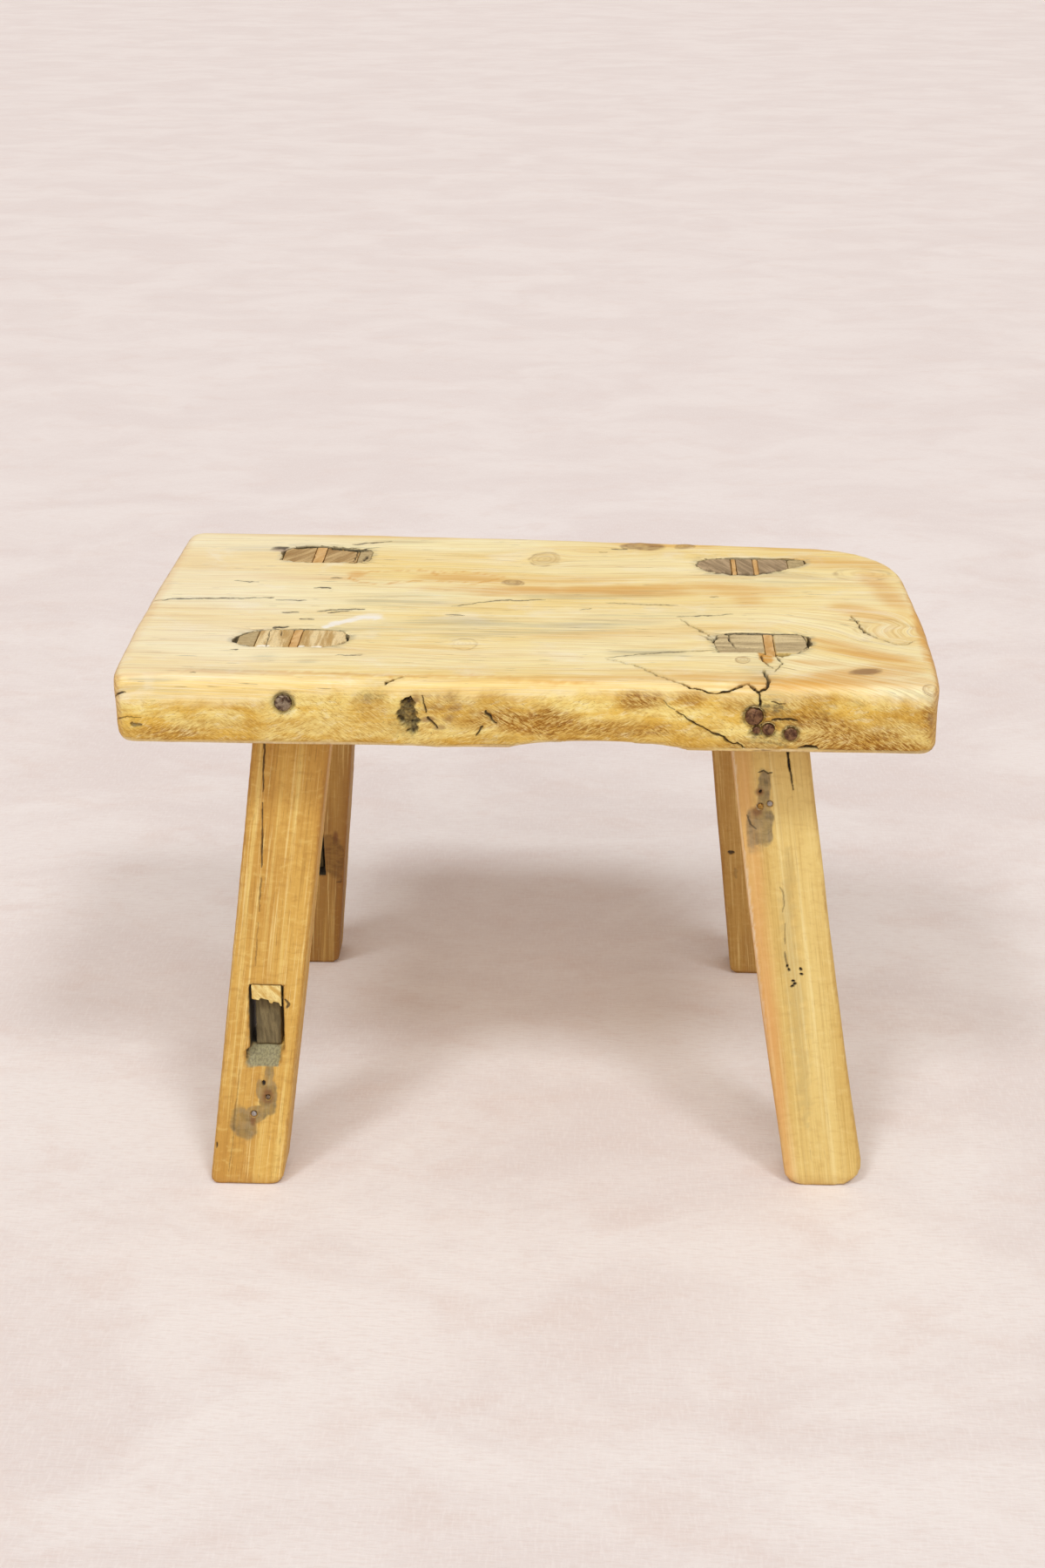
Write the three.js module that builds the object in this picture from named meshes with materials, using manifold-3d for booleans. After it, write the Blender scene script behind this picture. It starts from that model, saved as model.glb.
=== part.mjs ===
// A low four-legged milking stool in the country style: one thick hewn slab for the seat, four
// splayed legs whose tenons pass right through it, hardwood wedges and packing slips driven in
// from above, hand-made nails, and the broken ends of a lost rail in the two left legs.
// Millimetres. +X runs along the seat to its right end, +Y to the back, +Z up, floor at Z = 0.

import * as THREE from 'three';
import { mergeVertices } from 'three/addons/utils/BufferGeometryUtils.js';
import Module from 'manifold-3d';

const wasm = await Module();
wasm.setup();

// ---- Driving dimensions ----

const STOOL_HEIGHT = 295; // floor to seat top
const FIT_GAP = 0.3; // clearance all round between pieces that fit together

const SEAT_LENGTH = 421;
const SEAT_DEPTH_LEFT = 231; // the slab is deeper at its left end
const SEAT_DEPTH_RIGHT = 217.5;
const SEAT_THICKNESS = 37.5;
const SEAT_EDGE_ROUND = 5; // worn rounding along every long edge
const SEAT_CORNER_ROUND = SEAT_EDGE_ROUND + 6; // seen from above, at the three crisper corners
const SEAT_BACK_RIGHT_ROUND = 54; // the well worn corner
const SEAT_END_BULGE = 2; // how far the end faces swell past the corners

const WANE = { x: 38, halfLength: 46, reach: 24, rise: 5.5 }; // hollow under the front edge

const LEG_WIDTH = 41; // along X, where the leg meets the seat
const LEG_THICKNESS = 26; // along Y
const LEG_CORNER_ROUND = 2;
const TENON_RECESS = 0.4; // tenon ends stay just below the seat's surface
const WEDGE_LENGTH = 30;
const WEDGE_TIP = 1.2;

const RAIL_HEIGHT = 95; // centre of the lost rail above the floor
const RAIL_MORTISE_WIDTH = 19;
const RAIL_MORTISE_TALL = 36.6;
const RAIL_LIP_DROP = 7; // worn slope below the mouth of the front mortise
const RAIL_LIP_DEPTH = 9;
const RAIL_STUB_WIDTH = 11;
const RAIL_STUB_OFFSET = 1.4; // the stub has shifted sideways in its mortise
const RAIL_STUB_SHORT = 2.5; // the stub ends this far before the leg's inner face
const RAIL_KEY_TALL = 8; // broken key wedged in above the stub
const RAIL_KEY_LIFT = 2; // open gap between the stub and the key
const RAIL_KEY_WIDTH = 14;
const RAIL_KEY_RECESS = 0.8;

// Each leg: endInset and edgeInset place its axis on the seat's top, from the seat's own end and
// its own long edge. splayOut and splayAway are millimetres outwards for each millimetre of drop.
// flareLeft and flareRight are how far the wedges have spread the tenon at its top. slackFront and
// slackBack are the open gaps that wear has left beside the tenon. A rail's offset and rise place
// its mortise from the leg's middle and from RAIL_HEIGHT, and recess is how deep its stub is broken.
const LEGS = [
  {
    name: 'front_left', side: -1, row: -1, endInset: 92.7, edgeInset: 56.9,
    splayOut: 0.117, splayAway: 0.206, footWidth: 40, footRoundLeft: 3, footRoundRight: 5, bow: 0,
    flareLeft: 4, flareRight: 4, slackFront: 0, slackBack: 0,
    slip: { side: -1, thickness: 9.5 },
    wedges: [{ offset: -4, thickness: 4.6, proud: 0 }],
    rail: { offset: 1.9, rise: 0, recess: 7, lip: true, key: true },
  },
  {
    name: 'front_right', side: 1, row: -1, endInset: 90.6, edgeInset: 59.5,
    splayOut: 0.16, splayAway: 0.175, footWidth: 43, footRoundLeft: 6, footRoundRight: 15, bow: 1.5,
    flareLeft: 2, flareRight: 6, slackFront: 0, slackBack: 2.2,
    slip: null,
    wedges: [{ offset: 5.9, thickness: 5, proud: 4 }],
    rail: null,
  },
  {
    name: 'back_left', side: -1, row: 1, endInset: 90.5, edgeInset: 40,
    splayOut: 0.104, splayAway: 0.179, footWidth: 40, footRoundLeft: 3, footRoundRight: 3, bow: 0,
    flareLeft: 6.6, flareRight: -4, slackFront: 0, slackBack: 2.2,
    slip: { side: 1, thickness: 7.6 },
    wedges: [{ offset: -5.9, thickness: 6.1, proud: 0 }],
    rail: { offset: -2.5, rise: -6, recess: 11, lip: false, key: false },
  },
  {
    name: 'back_right', side: 1, row: 1, endInset: 97.8, edgeInset: 37,
    splayOut: 0.111, splayAway: 0.204, footWidth: 40, footRoundLeft: 3, footRoundRight: 3, bow: 0,
    flareLeft: 0.2, flareRight: 11, slackFront: 2.2, slackBack: 0,
    slip: { side: 1, thickness: 9.6 },
    wedges: [
      { offset: 0.5, thickness: 2.6, proud: 0 },
      { offset: 13, thickness: 2.6, proud: 0 },
    ],
    rail: null,
  },
];

// Nails through the seat's front face. fromLeg is the sideways distance from the leg axis, drop
// is down from the seat top, and aim is how far the point strays sideways.
const EDGE_NAILS = [
  { name: 'nail_front_left', leg: 'front_left', fromLeg: -3.5, drop: 13.4, head: 9.3, dome: 1.6, long: 60, aim: -9 },
  { name: 'nail_front_right_1', leg: 'front_right', fromLeg: -4.2, drop: 16.8, head: 9.5, dome: 1.7, long: 62, aim: 0 },
  { name: 'nail_front_right_2', leg: 'front_right', fromLeg: -2.6, drop: 24.2, head: 4.2, dome: 0.7, long: 26, aim: 0 },
  { name: 'nail_front_right_3', leg: 'front_right', fromLeg: 3.3, drop: 23.7, head: 6.4, dome: 0.9, long: 30, aim: 0 },
  { name: 'nail_front_right_4', leg: 'front_right', fromLeg: 14.6, drop: 26.1, head: 7, dome: 0.8, long: 58, aim: 0 },
];

// Small nails in the front faces of the front legs. fromAxis is sideways from the leg's middle at
// that height, and height is above the floor.
const LEG_NAILS = [
  { name: 'nail_leg_front_left_1', leg: 'front_left', fromAxis: 0.2, height: 40.8, head: 3.4 },
  { name: 'nail_leg_front_left_2', leg: 'front_left', fromAxis: 7, height: 50.4, head: 2.8 },
  { name: 'nail_leg_front_right_1', leg: 'front_right', fromAxis: -8.6, height: 213.3, head: 3.2 },
  { name: 'nail_leg_front_right_2', leg: 'front_right', fromAxis: -3.4, height: 214.8, head: 3.2 },
];
const LEG_NAIL_DOME = 0.5;
const LEG_NAIL_LONG = 18;

const TOP_NAIL = { beyondTenon: 4.5, behindAxis: 10.7, head: 2.6, dome: 0.3, long: 26 }; // back left

// Colour, roughness and metalness of each kind of piece.
const FINISHES = {
  seat: [0xe6c98a, 0.72, 0],
  leg: [0xcd9f57, 0.7, 0],
  wedge: [0xd9a868, 0.78, 0],
  slip: [0xb89a68, 0.85, 0],
  stub: [0x6f6242, 0.9, 0],
  key: [0xd8b26c, 0.8, 0],
  iron: [0x5a4038, 0.55, 0.7],
  steel: [0xa09a94, 0.4, 0.9],
  brass: [0xb58a45, 0.45, 0.85],
};

// ---- Solid helpers ----

const CUTTER_REACH = 6; // how far a cutter runs on past the face that it opens

function toSolid(geometry) {
  const bare = new THREE.BufferGeometry();
  bare.setAttribute('position', geometry.getAttribute('position'));
  bare.setIndex(geometry.index);
  const merged = mergeVertices(bare, 1e-4);
  const mesh = new wasm.Mesh({
    numProp: 3,
    vertProperties: new Float32Array(merged.getAttribute('position').array),
    triVerts: new Uint32Array(merged.index.array),
  });
  return new wasm.Manifold(mesh);
}

function toGeometry(solid) {
  const { vertProperties, triVerts } = solid.getMesh();
  const geometry = new THREE.BufferGeometry();
  geometry.setAttribute('position', new THREE.BufferAttribute(vertProperties, 3));
  geometry.setIndex(new THREE.BufferAttribute(triVerts, 1));
  geometry.computeVertexNormals();
  return geometry;
}

function subtractAll(geometry, cutters) {
  let solid = toSolid(geometry);
  for (const cutter of cutters) solid = solid.subtract(toSolid(cutter));
  return toGeometry(solid);
}

// A post through horizontal sections, each { z, left, right, front, back }. The corners keep
// their radius while the sides move.
function post(levels, cornerRound) {
  const half = cornerRound + 1;
  const shape = new THREE.Shape();
  if (cornerRound > 0) {
    shape.absarc(1, 1, cornerRound, 0, Math.PI / 2);
    shape.absarc(-1, 1, cornerRound, Math.PI / 2, Math.PI);
    shape.absarc(-1, -1, cornerRound, Math.PI, 1.5 * Math.PI);
    shape.absarc(1, -1, cornerRound, 1.5 * Math.PI, 2 * Math.PI);
  } else {
    shape.setFromPoints([[1, 1], [-1, 1], [-1, -1], [1, -1]].map(([x, y]) => new THREE.Vector2(x, y)));
  }
  const steps = levels.length - 1;
  const geometry = new THREE.ExtrudeGeometry(shape, { depth: steps, steps, bevelEnabled: false, curveSegments: 3 });
  const position = geometry.getAttribute('position');
  for (let i = 0; i < position.count; i++) {
    const level = levels[Math.round(position.getZ(i))];
    const x = position.getX(i);
    const y = position.getY(i);
    const movedX = x < 0 ? x + half + level.left : x - half + level.right;
    const movedY = y < 0 ? y + half + level.front : y - half + level.back;
    position.setXYZ(i, movedX, movedY, level.z);
  }
  return geometry;
}

function add(parent, name, geometry, finish, place = [0, 0, 0], turn = [0, 0, 0]) {
  const [color, roughness, metalness] = FINISHES[finish];
  const material = new THREE.MeshStandardMaterial({ color, roughness, metalness });
  const mesh = new THREE.Mesh(geometry, material);
  mesh.name = name;
  mesh.position.set(...place);
  mesh.rotation.set(...turn);
  parent.add(mesh);
}

// ---- Leg geometry, in the leg's own frame: its axis crosses the seat's top at the origin ----

const UNDERSIDE = -SEAT_THICKNESS;
const FLOOR = -STOOL_HEIGHT;
const seatDepth = (side) => (side < 0 ? SEAT_DEPTH_LEFT : SEAT_DEPTH_RIGHT);
const roundInset = (radius, height) =>
  height < radius ? radius - Math.sqrt(radius ** 2 - (radius - height) ** 2) : 0;

function legPlace(leg) {
  const x = leg.side * (SEAT_LENGTH / 2 - leg.endInset);
  const y = leg.row < 0 ? leg.edgeInset : seatDepth(leg.side) - leg.edgeInset;
  return new THREE.Vector3(x, y, 0);
}

function legAxis(leg, z) {
  return { x: -z * leg.side * leg.splayOut, y: -z * leg.row * leg.splayAway };
}

// The leg's section at one height. In the seat the two ends spread with the wedges.
function legSection(leg, z) {
  const axis = legAxis(leg, z);
  const down = THREE.MathUtils.clamp((z - UNDERSIDE) / (FLOOR - UNDERSIDE), 0, 1);
  const half = THREE.MathUtils.lerp(LEG_WIDTH, leg.footWidth, down) / 2;
  const spread = z > UNDERSIDE ? 1 - z / UNDERSIDE : 0;
  const bow = leg.bow * Math.sin(Math.PI * down);
  const height = z - FLOOR;
  return {
    z,
    left: axis.x - bow - half - leg.flareLeft * spread + roundInset(leg.footRoundLeft, height),
    right: axis.x - bow + half + leg.flareRight * spread - roundInset(leg.footRoundRight, height),
    front: axis.y - LEG_THICKNESS / 2,
    back: axis.y + LEG_THICKNESS / 2,
  };
}

function grow(level, { left = 0, right = 0, front = 0, back = 0 }) {
  return {
    z: level.z,
    left: level.left - left,
    right: level.right + right,
    front: level.front - front,
    back: level.back + back,
  };
}

function legBlank(leg) {
  const shoulder = STOOL_HEIGHT - SEAT_THICKNESS;
  const roundHeights = [0, 0.06, 0.2, 0.4, 0.7, 1].map((share) => share * Math.max(leg.footRoundRight, 3));
  const firstShaft = roundHeights.at(-1);
  const shaftHeights = [0.2, 0.4, 0.6, 0.8, 1].map((share) => firstShaft + share * (shoulder - firstShaft));
  const heights = [...roundHeights, ...shaftHeights, STOOL_HEIGHT - TENON_RECESS];
  return post(heights.map((height) => legSection(leg, height + FLOOR)), LEG_CORNER_ROUND);
}

// The hole through the seat for a tenon and its packing slip.
function seatMortise(leg) {
  const slipRoom = leg.slip ? leg.slip.thickness + FIT_GAP : 0;
  const slipOnLeft = leg.slip && leg.slip.side < 0;
  const room = {
    left: FIT_GAP + (slipOnLeft ? slipRoom : 0),
    right: FIT_GAP + (leg.slip && !slipOnLeft ? slipRoom : 0),
    front: FIT_GAP + leg.slackFront,
    back: FIT_GAP + leg.slackBack,
  };
  const levels = [UNDERSIDE - 1, UNDERSIDE, 1].map((z) => grow(legSection(leg, z), room));
  return post(levels, LEG_CORNER_ROUND);
}

function slipGeometry(leg) {
  const inset = leg.slip.thickness;
  const levels = [UNDERSIDE + 2, -TENON_RECESS].map((z) => {
    const tenon = legSection(leg, z);
    const near = leg.slip.side < 0 ? tenon.left - FIT_GAP : tenon.right + FIT_GAP;
    const far = near + leg.slip.side * inset;
    return { ...tenon, left: Math.min(near, far), right: Math.max(near, far) };
  });
  return post(levels, LEG_CORNER_ROUND);
}

// A wedge, or with a positive gap the kerf that takes it.
function wedgeGeometry(leg, wedge, gap) {
  const top = gap > 0 ? 1 : -TENON_RECESS;
  const bottom = -WEDGE_LENGTH - gap;
  const levels = [bottom, top].map((z) => {
    const axis = legAxis(leg, z);
    const share = (z + WEDGE_LENGTH) / WEDGE_LENGTH;
    const half = THREE.MathUtils.lerp(WEDGE_TIP, wedge.thickness, share) / 2 + gap;
    const reach = LEG_THICKNESS / 2 + gap;
    return {
      z,
      left: axis.x + wedge.offset - half,
      right: axis.x + wedge.offset + half,
      front: axis.y - reach - wedge.proud,
      back: axis.y + reach,
    };
  });
  return post(levels, 0);
}

// ---- The lost rail: mortise, broken stub and key, in the leg's frame ----

function railPlace(leg) {
  const z = FLOOR + RAIL_HEIGHT + leg.rail.rise;
  const axis = legAxis(leg, z);
  return {
    x: axis.x + leg.rail.offset,
    y: axis.y,
    z,
    sill: z - RAIL_MORTISE_TALL / 2,
    head: z + RAIL_MORTISE_TALL / 2,
  };
}

function railMortise(leg) {
  const rail = railPlace(leg);
  const box = new THREE.BoxGeometry(RAIL_MORTISE_WIDTH, 3 * LEG_THICKNESS, RAIL_MORTISE_TALL);
  return box.translate(rail.x, rail.y, rail.z);
}

// The worn slope below the mortise's mouth: a prism with its section in the leg's Y and Z.
function railLip(leg) {
  const { sill } = railPlace(leg);
  const x = legAxis(leg, sill).x + leg.rail.offset;
  const face = legSection(leg, sill).front;
  const outside = face - CUTTER_REACH;
  const drop = (RAIL_LIP_DROP / RAIL_LIP_DEPTH) * (RAIL_LIP_DEPTH + CUTTER_REACH);
  const profile = new THREE.Shape([
    new THREE.Vector2(face + RAIL_LIP_DEPTH, sill),
    new THREE.Vector2(face + RAIL_LIP_DEPTH, sill + 1),
    new THREE.Vector2(outside, sill + 1),
    new THREE.Vector2(outside, sill - drop),
  ]);
  const prism = new THREE.ExtrudeGeometry(profile, { depth: RAIL_MORTISE_WIDTH, bevelEnabled: false });
  prism.applyMatrix4(new THREE.Matrix4().makeBasis(
    new THREE.Vector3(0, 1, 0),
    new THREE.Vector3(0, 0, 1),
    new THREE.Vector3(1, 0, 0),
  ));
  return prism.translate(x - RAIL_MORTISE_WIDTH / 2, 0, 0);
}

// A broken piece left in the mortise, set back from the leg's front face by recess.
function railPiece(leg, { centre, width, bottom, top, recess, cornerRound }) {
  const levels = [bottom, top].map((z) => {
    const section = legSection(leg, z);
    return {
      z,
      left: centre - width / 2,
      right: centre + width / 2,
      front: section.front + recess,
      back: section.back - RAIL_STUB_SHORT,
    };
  });
  return post(levels, cornerRound);
}

function railStub(leg) {
  const rail = railPlace(leg);
  const centre = rail.x + RAIL_STUB_OFFSET;
  const top = rail.head - FIT_GAP - RAIL_KEY_TALL - RAIL_KEY_LIFT;
  const size = { width: RAIL_STUB_WIDTH, bottom: rail.sill + FIT_GAP, top };
  return railPiece(leg, { ...size, centre, recess: leg.rail.recess, cornerRound: 1 });
}

function railKey(leg) {
  const rail = railPlace(leg);
  const top = rail.head - FIT_GAP;
  const size = { width: RAIL_KEY_WIDTH, bottom: top - RAIL_KEY_TALL, top };
  return railPiece(leg, { ...size, centre: rail.x, recess: RAIL_KEY_RECESS, cornerRound: 0 });
}

// ---- Nails: the axis is local Y, the head at Y = 0 with its dome towards -Y ----

const NAIL_HEAD_SEAT = 0.8; // how deep the underside of the head is let into the wood
const NAIL_SIDES = 14;
const shankRadius = (head) => Math.max(0.7, head * 0.17);

function nailGeometry({ head, dome, long }) {
  const rim = head / 2;
  const shank = shankRadius(head);
  const domePoints = [0.92, 0.7, 0.38].map((share) =>
    new THREE.Vector2(rim * share, -dome * Math.sqrt(1 - share ** 2)));
  const profile = [
    new THREE.Vector2(0, -dome),
    ...domePoints.reverse(),
    new THREE.Vector2(rim, 0.15),
    new THREE.Vector2(rim, NAIL_HEAD_SEAT),
    new THREE.Vector2(shank, NAIL_HEAD_SEAT),
    new THREE.Vector2(shank * 0.7, long * 0.8),
    new THREE.Vector2(0, long),
  ];
  return new THREE.LatheGeometry(profile, NAIL_SIDES);
}

function nailHole({ head, long }) {
  const rim = head / 2 + FIT_GAP;
  const shank = shankRadius(head) + FIT_GAP;
  const profile = [
    new THREE.Vector2(0, -CUTTER_REACH),
    new THREE.Vector2(rim, -CUTTER_REACH),
    new THREE.Vector2(rim, NAIL_HEAD_SEAT + FIT_GAP),
    new THREE.Vector2(shank, NAIL_HEAD_SEAT + FIT_GAP),
    new THREE.Vector2(shank, long * 0.8 + FIT_GAP),
    new THREE.Vector2(0, long + 2 * FIT_GAP),
  ];
  return new THREE.LatheGeometry(profile, NAIL_SIDES);
}

// The hole for a nail that already has its place and turn in the seat's frame.
function placedHole(nail) {
  const turn = new THREE.Matrix4().makeRotationFromEuler(new THREE.Euler(...nail.turn));
  return nailHole(nail).applyMatrix4(turn).translate(...nail.place);
}

const findLeg = (name) => LEGS.find((leg) => leg.name === name);

function edgeNail(spec) {
  const leg = findLeg(spec.leg);
  const place = [legPlace(leg).x + spec.fromLeg, 0, -spec.drop];
  return { ...spec, place, turn: [0, 0, -Math.atan2(spec.aim, spec.long)], finish: 'iron' };
}

function legNail(spec) {
  const leg = findLeg(spec.leg);
  const z = FLOOR + spec.height;
  const section = legSection(leg, z);
  const middle = (section.left + section.right) / 2;
  const place = legPlace(leg).add(new THREE.Vector3(middle + spec.fromAxis, section.front, z));
  const finish = spec.name.endsWith('front_right_1') ? 'brass' : 'steel';
  return { ...spec, dome: LEG_NAIL_DOME, long: LEG_NAIL_LONG, place: place.toArray(), turn: [0, 0, 0], finish };
}

function topNail() {
  const leg = findLeg('back_left');
  const tenon = legSection(leg, 0);
  const place = legPlace(leg);
  const x = place.x + tenon.left - TOP_NAIL.beyondTenon;
  const y = place.y + TOP_NAIL.behindAxis;
  return {
    name: 'nail_seat_top', ...TOP_NAIL, finish: 'steel',
    place: [x, y, -TENON_RECESS - TOP_NAIL.dome], turn: [-Math.PI / 2, 0, 0],
  };
}

// ---- Seat slab, in the seat's frame: X from its middle, Y from its front edge, Z from its top ----

function seatOutline() {
  const end = SEAT_LENGTH / 2;
  const left = -end + SEAT_END_BULGE;
  const right = end - SEAT_END_BULGE;
  const backLeft = SEAT_DEPTH_LEFT;
  const backRight = SEAT_DEPTH_RIGHT;
  const point = (x, y) => new THREE.Vector2(x, y);
  const outline = new THREE.Shape();
  outline.moveTo(left + SEAT_CORNER_ROUND, 0);
  outline.lineTo(right - SEAT_CORNER_ROUND, 0);
  outline.quadraticCurveTo(right, 0, right, SEAT_CORNER_ROUND);
  outline.quadraticCurveTo(end + SEAT_END_BULGE, backRight * 0.3, right, backRight - SEAT_BACK_RIGHT_ROUND);
  outline.quadraticCurveTo(right - 4, backRight - 4, right - SEAT_BACK_RIGHT_ROUND, backRight);
  outline.splineThru([point(0.2 * end, 0.5 * (backLeft + backRight)), point(-0.45 * end, backLeft)]);
  outline.lineTo(left + SEAT_CORNER_ROUND, backLeft);
  outline.quadraticCurveTo(left, backLeft, left, backLeft - SEAT_CORNER_ROUND);
  outline.quadraticCurveTo(-end - SEAT_END_BULGE, backLeft * 0.3, left, SEAT_CORNER_ROUND);
  outline.quadraticCurveTo(left, 0, left + SEAT_CORNER_ROUND, 0);
  return outline;
}

function seatBlank() {
  const slab = new THREE.ExtrudeGeometry(seatOutline(), {
    depth: SEAT_THICKNESS - 2 * SEAT_EDGE_ROUND,
    bevelThickness: SEAT_EDGE_ROUND,
    bevelSize: SEAT_EDGE_ROUND,
    bevelOffset: -SEAT_EDGE_ROUND,
    bevelSegments: 4,
    curveSegments: 10,
  });
  slab.translate(0, 0, UNDERSIDE + SEAT_EDGE_ROUND);
  return slab;
}

function seatWane() {
  const hollow = new THREE.SphereGeometry(1, 24, 12);
  hollow.scale(WANE.halfLength, WANE.reach, WANE.rise);
  hollow.translate(WANE.x, 0, UNDERSIDE);
  return hollow;
}

// ---- Assembly ----

const stool = new THREE.Group();
const seatFrame = new THREE.Group();
seatFrame.position.z = STOOL_HEIGHT;
stool.add(seatFrame);

const edgeNails = EDGE_NAILS.map(edgeNail);
const legNails = LEG_NAILS.map(legNail);
const loneNail = topNail();

const seatCutters = [seatWane(), ...[...edgeNails, loneNail].map(placedHole)];
for (const leg of LEGS) {
  const place = legPlace(leg).toArray();
  seatCutters.push(seatMortise(leg).translate(...place));
  for (const wedge of leg.wedges.filter(({ proud }) => proud > 0)) {
    seatCutters.push(wedgeGeometry(leg, wedge, FIT_GAP).translate(...place));
  }
}
add(seatFrame, 'seat_slab', subtractAll(seatBlank(), seatCutters), 'seat');

for (const leg of LEGS) {
  const place = legPlace(leg).toArray();
  const back = place.map((value) => -value);
  const nailHoles = [...edgeNails, ...legNails]
    .filter((nail) => nail.leg === leg.name)
    .map((nail) => placedHole(nail).translate(...back));
  const kerfs = leg.wedges.map((wedge) => wedgeGeometry(leg, wedge, FIT_GAP));
  const railCuts = leg.rail ? [railMortise(leg)] : [];
  if (leg.rail && leg.rail.lip) railCuts.push(railLip(leg));
  const cut = subtractAll(legBlank(leg), [...nailHoles, ...kerfs, ...railCuts]);
  add(seatFrame, `leg_${leg.name}`, cut, 'leg', place);

  leg.wedges.forEach((wedge, index) => {
    const suffix = leg.wedges.length > 1 ? `_${index + 1}` : '';
    add(seatFrame, `wedge_${leg.name}${suffix}`, wedgeGeometry(leg, wedge, 0), 'wedge', place);
  });
  if (leg.slip) add(seatFrame, `slip_${leg.name}`, slipGeometry(leg), 'slip', place);
  if (leg.rail) add(seatFrame, `rail_stub_${leg.name}`, railStub(leg), 'stub', place);
  if (leg.rail && leg.rail.key) add(seatFrame, `rail_key_${leg.name}`, railKey(leg), 'key', place);
}

for (const nail of [...edgeNails, ...legNails, loneNail]) {
  add(seatFrame, nail.name, nailGeometry(nail), nail.finish, nail.place, nail.turn);
}

// The origin is on the floor, under the middle of the whole stool.
const middle = new THREE.Box3().setFromObject(stool).getCenter(new THREE.Vector3());
stool.position.set(-middle.x, -middle.y, 0);
stool.updateMatrixWorld(true);

export default stool;
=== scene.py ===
"""Looks for a country milking stool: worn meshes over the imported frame, with node-based woods and irons.

Metres, in the row frame: +X the seat's right end, +Y its back, +Z up, floor at Z = 0.
Marks on the wood are listed in millimetres, because they are small.
"""

import functools
import itertools
import math

import bmesh
import bpy
import numpy as np
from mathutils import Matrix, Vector
from mathutils.bvhtree import BVHTree


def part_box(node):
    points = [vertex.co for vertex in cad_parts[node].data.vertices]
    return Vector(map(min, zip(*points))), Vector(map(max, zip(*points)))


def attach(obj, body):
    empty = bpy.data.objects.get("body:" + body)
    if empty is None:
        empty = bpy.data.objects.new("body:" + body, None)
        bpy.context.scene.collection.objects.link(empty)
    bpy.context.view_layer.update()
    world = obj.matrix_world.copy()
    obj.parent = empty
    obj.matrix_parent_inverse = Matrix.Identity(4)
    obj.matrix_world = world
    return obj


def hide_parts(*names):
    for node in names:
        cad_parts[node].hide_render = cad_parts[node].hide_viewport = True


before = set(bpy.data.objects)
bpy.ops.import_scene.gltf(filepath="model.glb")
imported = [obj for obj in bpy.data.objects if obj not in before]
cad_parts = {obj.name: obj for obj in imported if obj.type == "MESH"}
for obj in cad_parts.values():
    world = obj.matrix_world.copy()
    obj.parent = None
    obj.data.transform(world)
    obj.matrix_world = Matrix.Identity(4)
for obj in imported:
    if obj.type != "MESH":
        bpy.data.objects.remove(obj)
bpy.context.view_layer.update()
seat_low, seat_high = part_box("seat_slab")
MM = 0.001
TOP = seat_high.z / MM
BOTTOM = seat_low.z / MM
FRONT = seat_low.y / MM
BACK = seat_high.y / MM
END = seat_high.x / MM
# the grid of each dense mesh in metres, and the distances from a mark at which it is halved, in mm
SEAT_GRID, SEAT_BANDS = 0.0021, (6, 3.5, 1.3)
LEG_GRID, LEG_BANDS = 0.0016, (3.5, 1.4)
WOOD_GRID, NAIL_GRID = 0.0006, 0.0004

# ---------------------------------------------------------------- numbers on meshes


def smooth(x, low, high):
    """0 below low, 1 above high, and a soft step between. low may be the larger of the two."""
    t = np.clip((x - low) / (high - low), 0, 1)
    return t * t * (3 - 2 * t)


def hashed(i, j, k, seed):
    """A repeatable number from -1 to 1 for each corner of a grid."""
    n = (i * 73856093) ^ (j * 19349663) ^ (k * 83492791) ^ (seed * 2654435761)
    n = n & 0xFFFFFFFF
    n = ((n ^ (n >> 13)) * 1274126177) & 0xFFFFFFFF
    n = ((n ^ (n >> 15)) * 2246822519) & 0xFFFFFFFF
    return (n ^ (n >> 16)) / 2147483647.5 - 1.0


def noise(p, size, seed=0, octaves=1):
    """Smooth noise from about -1 to 1, with lumps of the given size: one number, or one for each axis."""
    total, weight, amount = 0.0, 1.0, 0.0
    size = np.asarray(size, float)
    for octave in range(octaves):
        q = p / size
        base = np.floor(q).astype(np.int64)
        f = q - base
        f = f * f * (3 - 2 * f)
        value = 0.0
        for dx, dy, dz in itertools.product((0, 1), repeat=3):
            w = np.abs(1 - dx - f[:, 0]) * np.abs(1 - dy - f[:, 1]) * np.abs(1 - dz - f[:, 2])
            value = value + w * hashed(*(base + [dx, dy, dz]).T, seed + 31 * octave)
        total = total + weight * value
        amount += weight
        weight *= 0.5
        size = size * 0.5
    return total / amount


def to_line(uv, points):
    """Each point's distance to a broken line, and how far along the line the nearest place is, 0 to 1."""
    points = np.asarray(points, float)
    spans = np.linalg.norm(np.diff(points, axis=0), axis=1)
    starts = np.concatenate([[0], np.cumsum(spans)]) / max(spans.sum(), 1e-9)
    best = np.full(len(uv), 1e9)
    where = np.zeros(len(uv))
    for a, b, s0, s1 in zip(points[:-1], points[1:], starts[:-1], starts[1:]):
        ab = b - a
        t = np.clip(((uv - a) @ ab) / max(ab @ ab, 1e-9), 0, 1)
        d = np.linalg.norm(uv - a - t[:, None] * ab, axis=1)
        closer = d < best
        best[closer] = d[closer]
        where[closer] = (s0 + (s1 - s0) * t)[closer]
    return best, where


def boxed(uv, low, high, margin):
    """Which points are within a margin of a box."""
    return np.flatnonzero(np.all((uv > np.asarray(low) - margin) & (uv < np.asarray(high) + margin), axis=1))


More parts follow.
